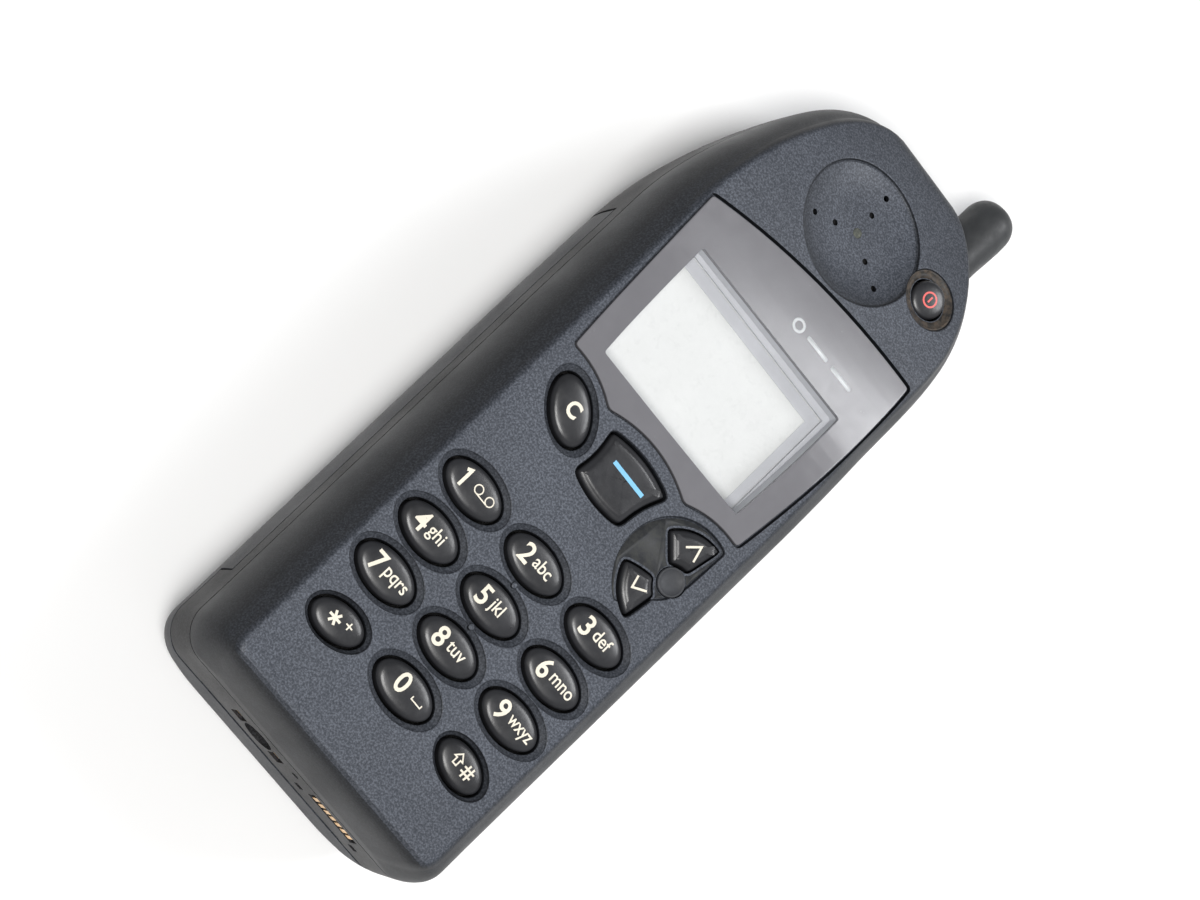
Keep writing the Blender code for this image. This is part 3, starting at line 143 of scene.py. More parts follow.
def cover_section(y, inset=0.0, sink=0.0, rim=None):
    """Cross-section of the front cover, smooth from the seam over the crease to the flat face."""
    width, shift = half_width(y, inset), centre_shift(y)
    hollow = inset > 0
    ends = end_drop(y - BOTTOM - inset) + 0.3 * end_drop((TOP - inset - y) * 1.2)
    top = -face_drop(y) - sink - ends * (0.3 if hollow else 1.0)
    seam = seam_z(y) if rim is None else rim
    drop = min(SHOULDER, (top - seam_z(y)) * 0.3)
    upward = min(1.0, max(0.0, (y - SHOULDER_START) / 20.0))
    crease = min(CREASE + (CREASE_TOP - CREASE) * upward, width * 0.3) * (0.5 if hollow else 1.0)
    edge, low = width - crease, top - drop
    tall = low - seam
    half = [(width, seam)]
    half += bezier((width, seam), (width + 0.02, seam + 0.5 * tall),
                   (edge + 0.62 * crease, low - 0.22 * tall), (edge, low), 9)
    half += bezier((edge, low), (edge - 0.18 * crease, low + 0.62 * drop),
                   (edge - 0.3 * crease, top), (edge - 0.62 * crease, top), 7)
    flat = edge - 0.62 * crease
    half += [(flat * f, top) for f in (0.94, 0.86, 0.74, 0.6, 0.45, 0.3, 0.15)]
    left = [(-x, z) for x, z in reversed(half)]
    return [(x + shift, y, z) for x, z in half + [(0.0, top)] + left]


def back_section(y, inset, top, sink=0.0, rounding=0.0):
    """Cross-section of the rear housing or battery, rounded into the back."""
    width, shift = half_width(y, inset), centre_shift(y)
    seam, base = seam_z(y), back_z(y) + sink + rounding
    depth = seam - base
    corner = min(1.0, width / 12.0)
    mid = seam - 0.35 * depth
    half = [(width, top), (width, (top + mid) / 2), (width, mid)]
    half += bezier((width, mid), (width, mid - 0.34 * depth), (width - 1.4 * corner, base + 0.12 * depth),
                   (width - 3.0 * corner, base + 0.085 * depth), 8)
    half += bezier((width - 3.0 * corner, base + 0.085 * depth), (width - 4.2 * corner, base + 0.03 * depth),
                   (width - 5.6 * corner, base), (width - 7.4 * corner, base), 6)
    half.append(((width - 7.4 * corner) * 0.5, base))
    left = [(-x, z) for x, z in reversed(half)]
    return [(x + shift, y, z) for x, z in half + left]


def back_rounding(y, start, end, radius=4.0):
    lift = 0.0
    for distance in (y - start, end - y):
        if distance < radius:
            short = radius - max(distance, 0.0)
            lift = max(lift, radius - math.sqrt(max(0.0, radius * radius - short * short)))
    return lift


def tub_section(y, inset, low, high):
    """Plain slab across the phone, for hollows and lips."""
    width, shift = half_width(y, inset), centre_shift(y)
    return [(shift + width, y, low), (shift + width, y, high),
            (shift - width, y, high), (shift - width, y, low)]


# ------------------------------------------------------------------ mesh helpers
def make(name, bm, mat=None, smooth=True, weld=0.0004):
    """Object from a bmesh drawn in phone millimetres."""
    if weld:
        bmesh.ops.remove_doubles(bm, verts=bm.verts, dist=weld)
    bmesh.ops.recalc_face_normals(bm, faces=bm.faces)
    for vert in bm.verts:
        vert.co = to_frame(*vert.co)
    for face in bm.faces:
        face.smooth = smooth
    mesh = bpy.data.meshes.new(name)
    bm.to_mesh(mesh)
    bm.free()
    obj = bpy.data.objects.new(name, mesh)
    bpy.context.scene.collection.objects.link(obj)
    if mat:
        mesh.materials.append(mat)
    return obj


def loft(bm, rings, caps=True):
    rows = [[bm.verts.new(p) for p in ring] for ring in rings]
    count = len(rows[0])
    for low, high in zip(rows, rows[1:]):
        for i in range(count):
            j = (i + 1) % count
            bm.faces.new((low[i], low[j], high[j], high[i]))
    if caps:
        bm.faces.new(list(reversed(rows[0])))
        bm.faces.new(rows[-1])


def prism(bm, outline, low, high):
    loft(bm, [[(x, y, z) for x, y in outline] for z in (low, high)])


def box(bm, x, y, z):
    prism(bm, ((x[0], y[0]), (x[1], y[0]), (x[1], y[1]), (x[0], y[1])), z[0], z[1])


def rod(bm, start, end, radius, sides=32, radius_end=None):
    axis = (Vector(end) - Vector(start)).normalized()
    across = axis.orthogonal().normalized()
    up = axis.cross(across)
    rings = []
    for point, r in ((Vector(start), radius), (Vector(end), radius_end or radius)):
        rings.append([point + r * (math.cos(a) * across + math.sin(a) * up)
                      for a in (2 * math.pi * (i + 0.5) / sides for i in range(sides))])
    loft(bm, rings)


def ellipse(centre, half, tilt=0.0, sides=64):
    turn = math.radians(tilt)
    points = []
    for i in range(sides):
        a = 2 * math.pi * i / sides
        u, v = half[0] * math.cos(a), half[1] * math.sin(a)
        points.append((centre[0] + u * math.cos(turn) - v * math.sin(turn),
                       centre[1] + u * math.sin(turn) + v * math.cos(turn)))
    return points


def bowed(corners, bows, steps=12):
    points = []
    for i, (x0, y0) in enumerate(corners):
        x1, y1 = corners[(i + 1) % len(corners)]
        length = math.hypot(x1 - x0, y1 - y0)
        nx, ny = (y1 - y0) / length, -(x1 - x0) / length
        for s in range(steps):
            t = s / steps
            lift = 4 * t * (1 - t) * bows[i]
            points.append((x0 + (x1 - x0) * t + nx * lift, y0 + (y1 - y0) * t + ny * lift))
    return points


def rounded(outline, radius, rounds=None):
    """Outline with its corners softened, by moving each point toward the mean of near points."""
    points = [Vector(p) for p in outline]
    dense = []
    for i, p in enumerate(points):
        q = points[(i + 1) % len(points)]
        pieces = max(1, int((q - p).length / 0.25))
        dense += [p.lerp(q, k / pieces) for k in range(pieces)]
    for _ in range(rounds or max(1, int(radius * 14))):
        dense = [(dense[i - 1] + dense[i] * 2 + dense[(i + 1) % len(dense)]) / 4 for i in range(len(dense))]
    return [(p.x, p.y) for p in dense]


def grown(outline, by):
    moved = []
    count = len(outline)
    for i, (x, y) in enumerate(outline):
        ax, ay = outline[i - 1]
        bx, by_ = outline[(i + 1) % count]
        first, second = Vector((y - ay, ax - x)), Vector((by_ - y, x - bx))
        both = (first.normalized() + second.normalized()).normalized()
        reach = by / max(0.6, both.dot(first.normalized()))
        moved.append((x + both.x * reach, y + both.y * reach))
    return moved


def follow_face(bm, step=2.0):
    """Bend a body drawn on the flat so that it follows the falling face."""
    y = CURVE_START
    while y < TOP:
        geometry = bm.verts[:] + bm.edges[:] + bm.faces[:]
        bmesh.ops.bisect_plane(bm, geom=geometry, dist=0.0001, plane_co=(0, y, 0), plane_no=(0, 1, 0))
        y += step
    for vert in bm.verts:
        vert.co.z -= face_drop(vert.co.y)


def carve(target, tools):
    """Cut or join tools, then keep the result as plain mesh."""
    for tool, operation in tools:
        mod = target.modifiers.new(tool.name, "BOOLEAN")
        mod.operation = operation
        mod.solver = "MANIFOLD"
        mod.object = tool
    graph = bpy.context.evaluated_depsgraph_get()
    mesh = bpy.data.meshes.new_from_object(target.evaluated_get(graph), depsgraph=graph)
    target.modifiers.clear()
    target.data = mesh
    for tool, _ in tools:
        bpy.data.objects.remove(tool, do_unlink=True)


def crisp(obj, angle=20.0):
    """Keep edges steeper than angle sharp and let flat areas rule the shading."""
    bm = bmesh.new()
    bm.from_mesh(obj.data)
    bmesh.ops.dissolve_degenerate(bm, edges=bm.edges, dist=1e-7)
    limit = math.radians(angle)
    for edge in bm.edges:
        edge.smooth = len(edge.link_faces) == 2 and edge.calc_face_angle(0.0) < limit
    for face in bm.faces:
        face.smooth = True
    bm.to_mesh(obj.data)
    bm.free()
    mod = obj.modifiers.new("weighted", "WEIGHTED_NORMAL")
    mod.keep_sharp = True
    mod.weight = 60


def place(obj, body, stands_for=()):
    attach(obj, body)
    if stands_for:
        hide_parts(*stands_for)
    return obj


# ------------------------------------------------------------------ materials
class Nodes:
    """Short forms for building one material's node tree."""

    def __init__(self, name):
        self.mat = bpy.data.materials.new(name)
        self.mat.use_nodes = True
        self.tree = self.mat.node_tree
        self.shader = self.tree.nodes["Principled BSDF"]
        place_in = self.tree.nodes.new("ShaderNodeTexCoord").outputs
        self.coords, self.normals = place_in["Object"], place_in["Normal"]

    def add(self, kind, **inputs):
        node = self.tree.nodes.new("ShaderNode" + kind)
        for key, value in inputs.items():
            node.inputs[key.replace("_", " ")].default_value = value
        return node

    def link(self, out, into):
        self.tree.links.new(out, into)

    def noise(self, scale, detail=2.0, rough=0.5, stretch=None):
        node = self.add("TexNoise", Scale=scale, Detail=detail, Roughness=rough)
        source = self.coords
        if stretch:
            mapping = self.add("Mapping")
            mapping.inputs["Scale"].default_value = stretch
            self.link(source, mapping.inputs["Vector"])
            source = mapping.outputs[0]
        self.link(source, node.inputs["Vector"])
        return node.outputs["Fac"]

    def cells(self, scale, output="Distance"):
        node = self.add("TexVoronoi", Scale=scale)
        self.link(self.coords, node.inputs["Vector"])
        return node.outputs[output]

    def ramp(self, value, stops):
        node = self.tree.nodes.new("ShaderNodeValToRGB")
        while len(node.color_ramp.elements) < len(stops):
            node.color_ramp.elements.new(0.5)
        for element, (at, colour) in zip(node.color_ramp.elements, stops):
            element.position = at
            element.color = (*colour, 1.0) if hasattr(colour, "__len__") else (colour, colour, colour, 1.0)
        self.link(value, node.inputs[0])
        return node.outputs[0]

    def mix(self, fac, a, b, blend="MIX"):
        node = self.tree.nodes.new("ShaderNodeMix")
        node.data_type = "RGBA"
        node.blend_type = blend
        for socket, value in ((node.inputs[0], fac), (node.inputs[6], a), (node.inputs[7], b)):
            if isinstance(value, bpy.types.NodeSocket):
                self.link(value, socket)
            elif hasattr(value, "__len__"):
                socket.default_value = (*value, 1.0)
            else:
                socket.default_value = value
        return node.outputs[2]

    def finish(self, colour=None, rough=None, height=None, strength=0.2, distance=0.0001, **values):
        if colour is not None:
            if isinstance(colour, bpy.types.NodeSocket):
                self.link(colour, self.shader.inputs["Base Color"])
            else:
                self.shader.inputs["Base Color"].default_value = (*colour, 1.0)
        if rough is not None:
            if isinstance(rough, bpy.types.NodeSocket):
                self.link(rough, self.shader.inputs["Roughness"])
            else:
                self.shader.inputs["Roughness"].default_value = rough
        if height is not None:
            bump = self.add("Bump", Strength=strength, Distance=distance)
            self.link(height, bump.inputs["Height"])
            self.link(bump.outputs[0], self.shader.inputs["Normal"])
        for key, value in values.items():
            self.shader.inputs[key.replace("_", " ")].default_value = value
        return self.mat


def speckled_plastic(name, dark, mid, light, rough, wear=0.0, level=0.3, wall_shade=None):
    """Moulded plastic with fine metallic speckle, soft blotches and faint handling marks, and optional painted shade
    that darkens surfaces as they turn away from facing up.
    """
    n = Nodes(name)
    grain = n.ramp(n.noise(3600.0, 2.0, 0.6), ((0.36, dark), (0.5, mid), (0.64, light)))
    flecks = n.ramp(n.cells(2600.0), ((0.0, 1.0), (0.16, 0.0)))
    colour = n.mix(flecks, grain, tuple(c * 1.55 for c in light))
    blotch = n.ramp(n.noise(60.0, 4.0, 0.6), ((0.3, 0.86), (0.7, 1.1)))
    colour = n.mix(1.0, colour, blotch, "MULTIPLY")
    marks = n.ramp(n.noise(170.0, 6.0, 0.75, (1.0, 0.22, 1.0)), ((0.62, 0.0), (0.74, 1.0)))
    if wear:
        colour = n.mix(n.mix(1.0, marks, (wear, wear, wear), "MULTIPLY"), colour, tuple(c * 1.9 for c in light))
    # painted shade: colour darkened where the surface normal tilts away from +Z, so side walls and dish slopes read
    # darker
    if wall_shade:
        split = n.add("SeparateXYZ")
        n.link(n.normals, split.inputs[0])
        colour = n.mix(1.0, colour, n.ramp(split.outputs["Z"], wall_shade), "MULTIPLY")
    patch = n.ramp(n.noise(90.0, 5.0, 0.65), ((0.3, rough - 0.05), (0.7, rough + 0.08)))
    return n.finish(colour, patch, n.noise(4200.0, 2.0, 0.6), 0.35, 0.00004, Specular_IOR_Level=level)


def fine_plastic(name, colour, rough, grain=2400.0, strength=0.25, spread=0.25, **values):
    """Plain moulded plastic or rubber with a fine texture and uneven polish."""
    n = Nodes(name)
    tone = n.ramp(n.noise(220.0, 5.0, 0.65), ((0.3, tuple(c * (1 - spread) for c in colour)),
                                             (0.7, tuple(c * (1 + spread) for c in colour))))
    polish = n.ramp(n.noise(500.0, 6.0, 0.7), ((0.3, max(0.03, rough * 0.75)), (0.7, rough * 1.25)))
    return n.finish(tone, polish, n.noise(grain, 3.0, 0.6), strength, 0.00005, **values)


def metal(name, colour, rough, scale=1500.0):
    n = Nodes(name)
    tone = n.ramp(n.noise(400.0, 5.0, 0.7), ((0.3, tuple(c * 0.72 for c in colour)), (0.7, colour)))
    polish = n.ramp(n.noise(900.0, 4.0, 0.6), ((0.3, rough * 0.7), (0.7, rough * 1.4)))
    return n.finish(tone, polish, n.noise(scale, 3.0, 0.6, (1.0, 0.15, 1.0)), 0.15, 0.00003, Metallic=1.0)


def dirty_plastic(name, colour, dirt, rough, scale=900.0):
    """Plastic with dust and grime caught in a hollow."""
    n = Nodes(name)
    mask = n.ramp(n.noise(scale, 6.0, 0.75), ((0.42, 0.0), (0.66, 1.0)))
    tone = n.mix(mask, colour, dirt)
    polish = n.mix(mask, (rough,) * 3, (0.85,) * 3)
    return n.finish(tone, polish, n.noise(scale * 2.2, 5.0, 0.7), 0.5, 0.00008)


M = {
    # the cover's last ramp is painted shade on its walls and slopes, darker the steeper they are
    "cover": speckled_plastic("looks_cover", (0.038, 0.043, 0.054), (0.062, 0.069, 0.084),
                              (0.105, 0.115, 0.138), 0.45, 0.14, 0.24,
                              ((0.5, 0.16), (0.86, 0.6), (0.955, 1.0))),
    "rear": speckled_plastic("looks_rear", (0.012, 0.0115, 0.012), (0.02, 0.0195, 0.021),
                             (0.036, 0.036, 0.039), 0.42, 0.1, 0.1),
    "battery": speckled_plastic("looks_battery", (0.014, 0.015, 0.019), (0.022, 0.024, 0.029),
                                (0.04, 0.043, 0.052), 0.42, 0.16, 0.15),
    "key": fine_plastic("looks_key", (0.018, 0.0185, 0.021), 0.36, 1900.0, 0.22, 0.3,
                        Coat_Weight=0.15, Coat_Roughness=0.22),
    "legend": fine_plastic("looks_legend", (0.74, 0.69, 0.58), 0.5, 3000.0, 0.2, 0.08),
    "bar": fine_plastic("looks_bar", (0.2, 0.5, 0.74), 0.4, 3000.0, 0.2, 0.08),
    "power": fine_plastic("looks_power_mark", (0.75, 0.13, 0.12), 0.45, 3000.0, 0.2, 0.1),
    "mask": fine_plastic("looks_window_mask", (0.15, 0.148, 0.16), 0.22, 2600.0, 0.04, 0.04,
                         Coat_Weight=0.3, Coat_Roughness=0.1),
    "silver": fine_plastic("looks_silver_mark", (0.62, 0.64, 0.66), 0.35, 3000.0, 0.1, 0.05),
    "web": fine_plastic("looks_web", (0.01, 0.01, 0.011), 0.7, 2000.0, 0.3, 0.2),
    "field": dirty_plastic("looks_field", (0.026, 0.028, 0.032), (0.05, 0.052, 0.05), 0.6, 700.0),
    "dot": fine_plastic("looks_dot", (0.03, 0.032, 0.037), 0.6, 2600.0, 0.4, 0.25),
    "grime": dirty_plastic("looks_grime", (0.02, 0.018, 0.016), (0.1, 0.075, 0.055), 0.5, 1100.0),
    "dirt": dirty_plastic("looks_dirt", (0.045, 0.05, 0.045), (0.12, 0.125, 0.1), 0.8, 1600.0),
    "antenna": fine_plastic("looks_antenna", (0.03, 0.032, 0.034), 0.5, 3200.0, 0.35, 0.2),
    "lcd": fine_plastic("looks_lcd", (0.63, 0.64, 0.635), 0.3, 1500.0, 0.02, 0.015),
    # pale grey for the frame walls, also used for the painted shadow band on the display
    "bezel_and_shadow_band": fine_plastic("looks_bezel_and_shadow_band", (0.5, 0.51, 0.54), 0.5, 1500.0, 0.1, 0.04),
    "steel": metal("looks_steel", (0.6, 0.61, 0.62), 0.3),
    "gold": metal("looks_gold", (0.86, 0.52, 0.2), 0.28),
    "brass": metal("looks_brass", (0.75, 0.6, 0.3), 0.3),
    "black": fine_plastic("looks_black", (0.012, 0.012, 0.013), 0.45),
    "board": fine_plastic("looks_board", (0.03, 0.16, 0.07), 0.4, 1500.0, 0.2, 0.2),
    "dome": fine_plastic("looks_dome", (0.6, 0.55, 0.35), 0.3, 1500.0, 0.1, 0.1),
    "guide": fine_plastic("looks_guide", (0.7, 0.78, 0.5), 0.2, 1500.0, 0.1, 0.05),
    "card": fine_plastic("looks_card", (0.82, 0.82, 0.8), 0.35, 1500.0, 0.08, 0.04),
    "sleeve": fine_plastic("looks_sleeve", (0.08, 0.24, 0.4), 0.3, 1500.0, 0.1, 0.1),
    "foam": fine_plastic("looks_foam", (0.04, 0.04, 0.04), 0.9, 1500.0, 0.8, 0.3),
    "cloth": fine_plastic("looks_cloth", (0.012, 0.012, 0.013), 0.8, 2800.0, 0.8, 0.3),
}


# ------------------------------------------------------------------ outlines on the face
def oval_keys():
    names = iter("123456789")
    spots = []
    for row in KEY_ROWS:
        for column in (-KEY_PITCH, 0.0, KEY_PITCH):
            spots.append(("key_" + next(names), (column, row), (5.15, 3.1), 0.0, (0.95, 0.74)))
    spots.append(("key_0", (0.0, -23.45), (5.15, 3.1), 0.0, (0.95, 0.74)))
    spots.append(("key_star", (-12.2, -24.3), (4.35, 2.8), 9.5, (0.6, 0.45)))
    spots.append(("key_hash", (12.2, -24.3), (4.35, 2.8), -9.5, (0.6, 0.45)))
    spots.append(("key_clear", (-11.4, 16.7), (5.1, 3.2), -37.0, (0.95, 0.6)))
    return spots


def menu_outline():
    corners = ((-5.6, 12.0), (4.3, 11.8), (6.2, 19.4), (-5.9, 19.5))
    return rounded(bowed(corners, (0.8, -0.55, 1.0, -0.6)), 0.8)


def up_outline():
    corners = ((12.5, 13.9), (15.4, 15.0), (16.5, 20.7), (9.0, 17.0))
    return rounded(bowed(corners, (-0.25, 0.0, 1.2, 0.0)), 0.35)


def down_outline():
    corners = ((13.5, 4.6), (14.3, 9.7), (12.4, 11.5), (7.6, 9.9))
    return rounded(bowed(corners, (0.0, -0.2, 0.2, 1.1)), 0.35)


def field_outline():
    cx, cy = DOT
    points = [(cx + 1.0, cy - 2.2), (cx + 2.0, cy + 1.2)]
    for step in range(31):
        a = math.radians(74 + step * 5.67)
        points.append((cx + 8.5 * math.cos(a), cy + 8.5 * math.sin(a)))
    return rounded(points, 0.3)


def window_outline():
    corners = ((-17.4, 22.8), (-8.05, 20.9), (8.05, 20.9), (17.3, 22.8), (19.5, 57.3), (-18.9, 51.4))
    return rounded(bowed(corners, (-0.75, -1.75, -0.75, 0.55, 1.7, 0.3), 14), 0.25, 3)


# ------------------------------------------------------------------ front cover
def dish_rings(outline_at, levels):
    """Rings of a cutter; levels hold height and outline growth."""
    return [[(x, y, z) for x, y in outline_at(reach)] for z, reach in levels]


def shell_tool(name, rings_or_fill, bend=False):
    bm = bmesh.new()
    rings_or_fill(bm)
    if bend:
        follow_face(bm)
    return make(name, bm)


def build_cover():
    bm = bmesh.new()
    loft(bm, [cover_section(y) for y in stations(step=3.0)])
    cover = make("cover_shell", bm, M["cover"])

    def hollow(b):
        loft(b, [cover_section(y, 1.8, 2.0, seam_z(y) - 8.0) for y in stations(1.8, step=4.0)])

    def seat(b):
        prism(b, grown(window_outline(), 0.42), -1.15, 3.0)

    def field(b):
        loft(b, dish_rings(lambda r: grown(field_outline(), r),
                           ((-0.55, -0.12), (-0.45, 0.0), (-0.12, 0.03), (0.0, 0.14), (3.0, 0.14))))

    def holes(b):
        for _, centre, half, tilt, dish in oval_keys():
            levels = ((-3.2, 0, 0), (-0.75, 0, 0), (-0.6, 0.08, 0.08), (-0.47, 0.3, 0.3), (-0.3, 0.62, 0.62),
                      (-0.13, 0.9, 0.9), (-0.05, 0.97, 0.97), (0.0, 1.08, 1.08), (2.0, 1.08, 1.08))
            loft(b, [[(x, y, z) for x, y in
                      ellipse(centre, (half[0] + dish[0] * u, half[1] + dish[1] * v), tilt, 72)]
                     for z, u, v in levels])
        for outline in (menu_outline(), up_outline(), down_outline()):
            loft(b, [[(x, y, z) for x, y in grown(outline, reach)]
                     for z, reach in ((-3.2, 0.0), (-0.45, 0.0), (-0.2, 0.06), (-0.05, 0.2), (0.0, 0.42), (2.0, 0.42))])

    def openings(b):
        box(b, (-15.8, 15.8), (24.6, 47.4), (-9.0, 3.0))
        rod(b, (*POWER, -14.0), (*POWER, 3.0), POWER_RADIUS + FIT, 40)

    def ear(b):
        rings = []
        for i in range(15):
            r = EAR_RADIUS * (0.12 + 0.84 * i / 14)
            rings.append((r, -0.38 - 1.37 * (1 - (r / EAR_RADIUS) ** 4)))
        rings += [(EAR_RADIUS - 0.2, -0.4), (EAR_RADIUS - 0.08, -0.22), (EAR_RADIUS, -0.06),
                  (EAR_RADIUS + 0.14, 0.0), (EAR_RADIUS + 0.14, 3.0)]
        loft(b, [[(x, y, z) for x, y in ellipse(EAR, (r, r), 0, 96)] for r, z in rings])

    def power(b):
        rings = ((POWER_RADIUS + 0.4, -0.95), (POWER_RADIUS + 0.9, -0.88), (POWER_DISH - 0.35, -0.62),
                 (POWER_DISH - 0.1, -0.25), (POWER_DISH, -0.06), (POWER_DISH + 0.14, 0.0), (POWER_DISH + 0.14, 3.0))
        loft(b, [[(x, y, z) for x, y in ellipse(POWER, (r, r), 0, 56)] for r, z in rings])

    def small(b):
        for angle in (90, 210, 330):
            for reach in (4.0, 7.8):
                x = EAR[0] + reach * math.cos(math.radians(angle))
                y = EAR[1] + reach * math.sin(math.radians(angle))
                rod(b, (x, y, -face_drop(y) - 4.0), (x, y, 1.0), 0.45, 20)
        rod(b, (*DOT, -1.0), (*DOT, 2.0), DOT_RADIUS, 48)

    def dimple(b):
        x, y = EAR
        rod(b, (x, y, -face_drop(y) - 1.9), (x, y, 1.0), 0.75, 24)

    def pips(b):
        for row in (KEY_ROWS[0] + KEY_ROWS[1], KEY_ROWS[1] + KEY_ROWS[2]):
            loft(b, [[(x, y, z) for x, y in ellipse((0.0, row / 2), (r, r), 0, 20)]
                     for r, z in ((0.45, -0.5), (0.45, 0.08), (0.38, 0.18), (0.22, 0.25))])

    def antenna_way(b):
        rod(b, (ANTENNA_X, ANTENNA_ROOT - FIT, -ANTENNA_DEPTH), (ANTENNA_X, 99, -ANTENNA_DEPTH),
            ANTENNA_RADIUS + 0.2, 48)

    carve(cover, [(shell_tool("t_antenna", antenna_way), "DIFFERENCE"),
                  (shell_tool("t_hollow", hollow), "DIFFERENCE"), (shell_tool("t_seat", seat, True), "DIFFERENCE"),
                  (shell_tool("t_field", field), "DIFFERENCE"), (shell_tool("t_holes", holes), "DIFFERENCE"),
                  (shell_tool("t_openings", openings), "DIFFERENCE"), (shell_tool("t_ear", ear, True), "DIFFERENCE"),
                  (shell_tool("t_power", power, True), "DIFFERENCE"), (shell_tool("t_small", small), "DIFFERENCE"),
                  (shell_tool("t_dimple", dimple), "DIFFERENCE"), (shell_tool("t_pips", pips), "UNION")])
    crisp(cover, 17.0)
    return place(cover, "cover", ("front_cover",))


def sheet_on_face(name, outline, depth, mat, body, thick=0.05, bend=True):
    """Thin printed or laid-in patch that follows the face at a depth below it."""
    bm = bmesh.new()
    prism(bm, outline, -depth - thick, -depth)
    if bend:
        follow_face(bm)
    return place(make(name, bm, mat), body)


MASK_UNDER = -0.95
MASK_EDGE = ((-0.24, 0.0), (-0.17, -0.05), (-0.15, -0.16))
# Grey L-shaped sheet laid on the display along its top and right edges: a painted shadow of the window edge.
SHADOW_BAND_OUTLINE = ((12.9, 25.05), (14.36, 25.05), (14.36, 44.76),
                (-14.36, 44.76), (-14.36, 43.0), (12.9, 43.0))
SHADOW_BAND_DEPTHS = (-4.38, -4.3)


def build_window():
    bm = bmesh.new()
    outline = window_outline()
    rings = [[(x, y, MASK_UNDER) for x, y in outline]]
    rings += [[(x, y, z) for x, y in grown(outline, reach)] for z, reach in MASK_EDGE]
    loft(bm, rings)
    follow_face(bm)
    plate = make("window_mask", bm, M["mask"])
    corners = ((-14.0, 25.2), (14.2, 25.5), (15.0, 45.7), (-14.9, 45.3))
    aperture = rounded(bowed(corners, (0.1, 0.15, 0.0, 0.25), 10), 0.25, 2)

    def hole(b):
        prism(b, aperture, -9.0, 3.0)

    carve(plate, [(shell_tool("t_aperture", hole), "DIFFERENCE")])
    crisp(plate, 25.0)
    place(plate, "cover", ("display_window",))
    n = Nodes("looks_pane")
    dust = n.ramp(n.noise(700.0, 6.0, 0.8), ((0.45, 0.012), (0.75, 0.03)))
    pane_mat = n.finish((0.8, 0.82, 0.84), n.ramp(n.noise(300.0, 4.0), ((0.3, 0.05), (0.7, 0.16))))
    n.link(dust, n.shader.inputs["Alpha"])
    bm = bmesh.new()
    prism(bm, grown(aperture, -0.02), -0.62, -0.5)
    follow_face(bm)
    place(make("window_pane", bm, pane_mat), "cover")
    build_surround(grown(aperture, 0.12))
    build_mark()
    return plate


def build_surround(inner):
    """Pale frame wall between the window and the display, standing on the display frame."""
    bm = bmesh.new()
    outer = rounded(((-15.55, 24.8), (15.55, 24.8), (15.55, 47.1), (-15.55, 47.1)), 0.2, 2)
    prism(bm, outer, -1.2, -1.08)
    follow_face(bm)
    for vert in bm.verts:
        if abs(vert.co.z + 1.2 + face_drop(vert.co.y)) < 0.02:
            vert.co.z = -3.66
    surround = make("display_surround", bm, M["bezel_and_shadow_band"])
    carve(surround, [(shell_tool("t_inner", lambda b: prism(b, inner, -9.0, 3.0)), "DIFFERENCE")])
    crisp(surround, 30.0)
    place(surround, "chassis")
    # painted shadow: pale grey sheet on the display where the window edge casts shade, top and right only
    bm = bmesh.new()
    prism(bm, SHADOW_BAND_OUTLINE, *SHADOW_BAND_DEPTHS)
    place(make("display_shadow_band", bm, M["bezel_and_shadow_band"], smooth=False), "chassis")


def ribbon(bm, points, width, closed=False, z=0.0, height=0.08):
    """Raised stroke of even width along points."""
    count = len(points)
    left, right = [], []
    for i, (x, y) in enumerate(points):
        ax, ay = points[i - 1] if (i > 0 or closed) else (x, y)
        bx, by = points[(i + 1) % count] if (i < count - 1 or closed) else (x, y)
        first, second = Vector((x - ax, y - ay)), Vector((bx - x, by - y))
        first = first.normalized() if first.length > 1e-6 else second.normalized()
        second = second.normalized() if second.length > 1e-6 else first
        both = (first + second).normalized()
        normal = Vector((-both.y, both.x))
        reach = width / 2 / max(0.45, both.dot(first))
        left.append((x + normal.x * reach, y + normal.y * reach))
        right.append((x - normal.x * reach, y - normal.y * reach))
    spans = count if closed else count - 1
    for i in range(spans):
        j = (i + 1) % count
        prism(bm, (left[i], right[i], right[j], left[j]), z, z + height)


def circle(centre, radius, sides=28):
    return ellipse(centre, (radius, radius), 0.0, sides)


def build_mark():
    """Plain geometric mark on the mask: a ring and two bars."""
    bm = bmesh.new()
    y = 49.6
    ribbon(bm, circle((1.9, y), 0.85), 0.42, True, -0.17, 0.04)
    for x0, x1 in ((3.9, 8.2), (9.2, 13.4)):
        bar = ((x0, y - 0.33), (x1, y - 0.33), (x1, y + 0.33), (x0, y + 0.33))
        prism(bm, rounded(bar, 0.1, 1), -0.17, -0.13)
    follow_face(bm)
    place(make("window_mark", bm, M["silver"], weld=0), "cover")


# ------------------------------------------------------------------ keys and their legends
def oval_dome(centre, half, tilt):
    """Height of an oval cap over a point, in phone millimetres."""
    turn = math.radians(tilt)

    def height(x, y):
        dx, dy = x - centre[0], y - centre[1]
        u = (dx * math.cos(turn) + dy * math.sin(turn)) / half[0]
        v = (-dx * math.sin(turn) + dy * math.cos(turn)) / half[1]
        return cap_height(min(1.0, math.hypot(u, v)))
    return height


PROFILE = ((0.0, 0.4), (0.2, 0.388), (0.4, 0.352), (0.6, 0.285), (0.74, 0.21), (0.83, 0.12), (0.88, 0.02),
           (0.925, -0.12), (0.955, -0.2), (0.985, -0.34), (1.0, -0.5))


def cap_height(r):
    for (r0, z0), (r1, z1) in zip(PROFILE, PROFILE[1:]):
        if r <= r1:
            return z0 + (z1 - z0) * (r - r0) / (r1 - r0)
    return PROFILE[-1][1]


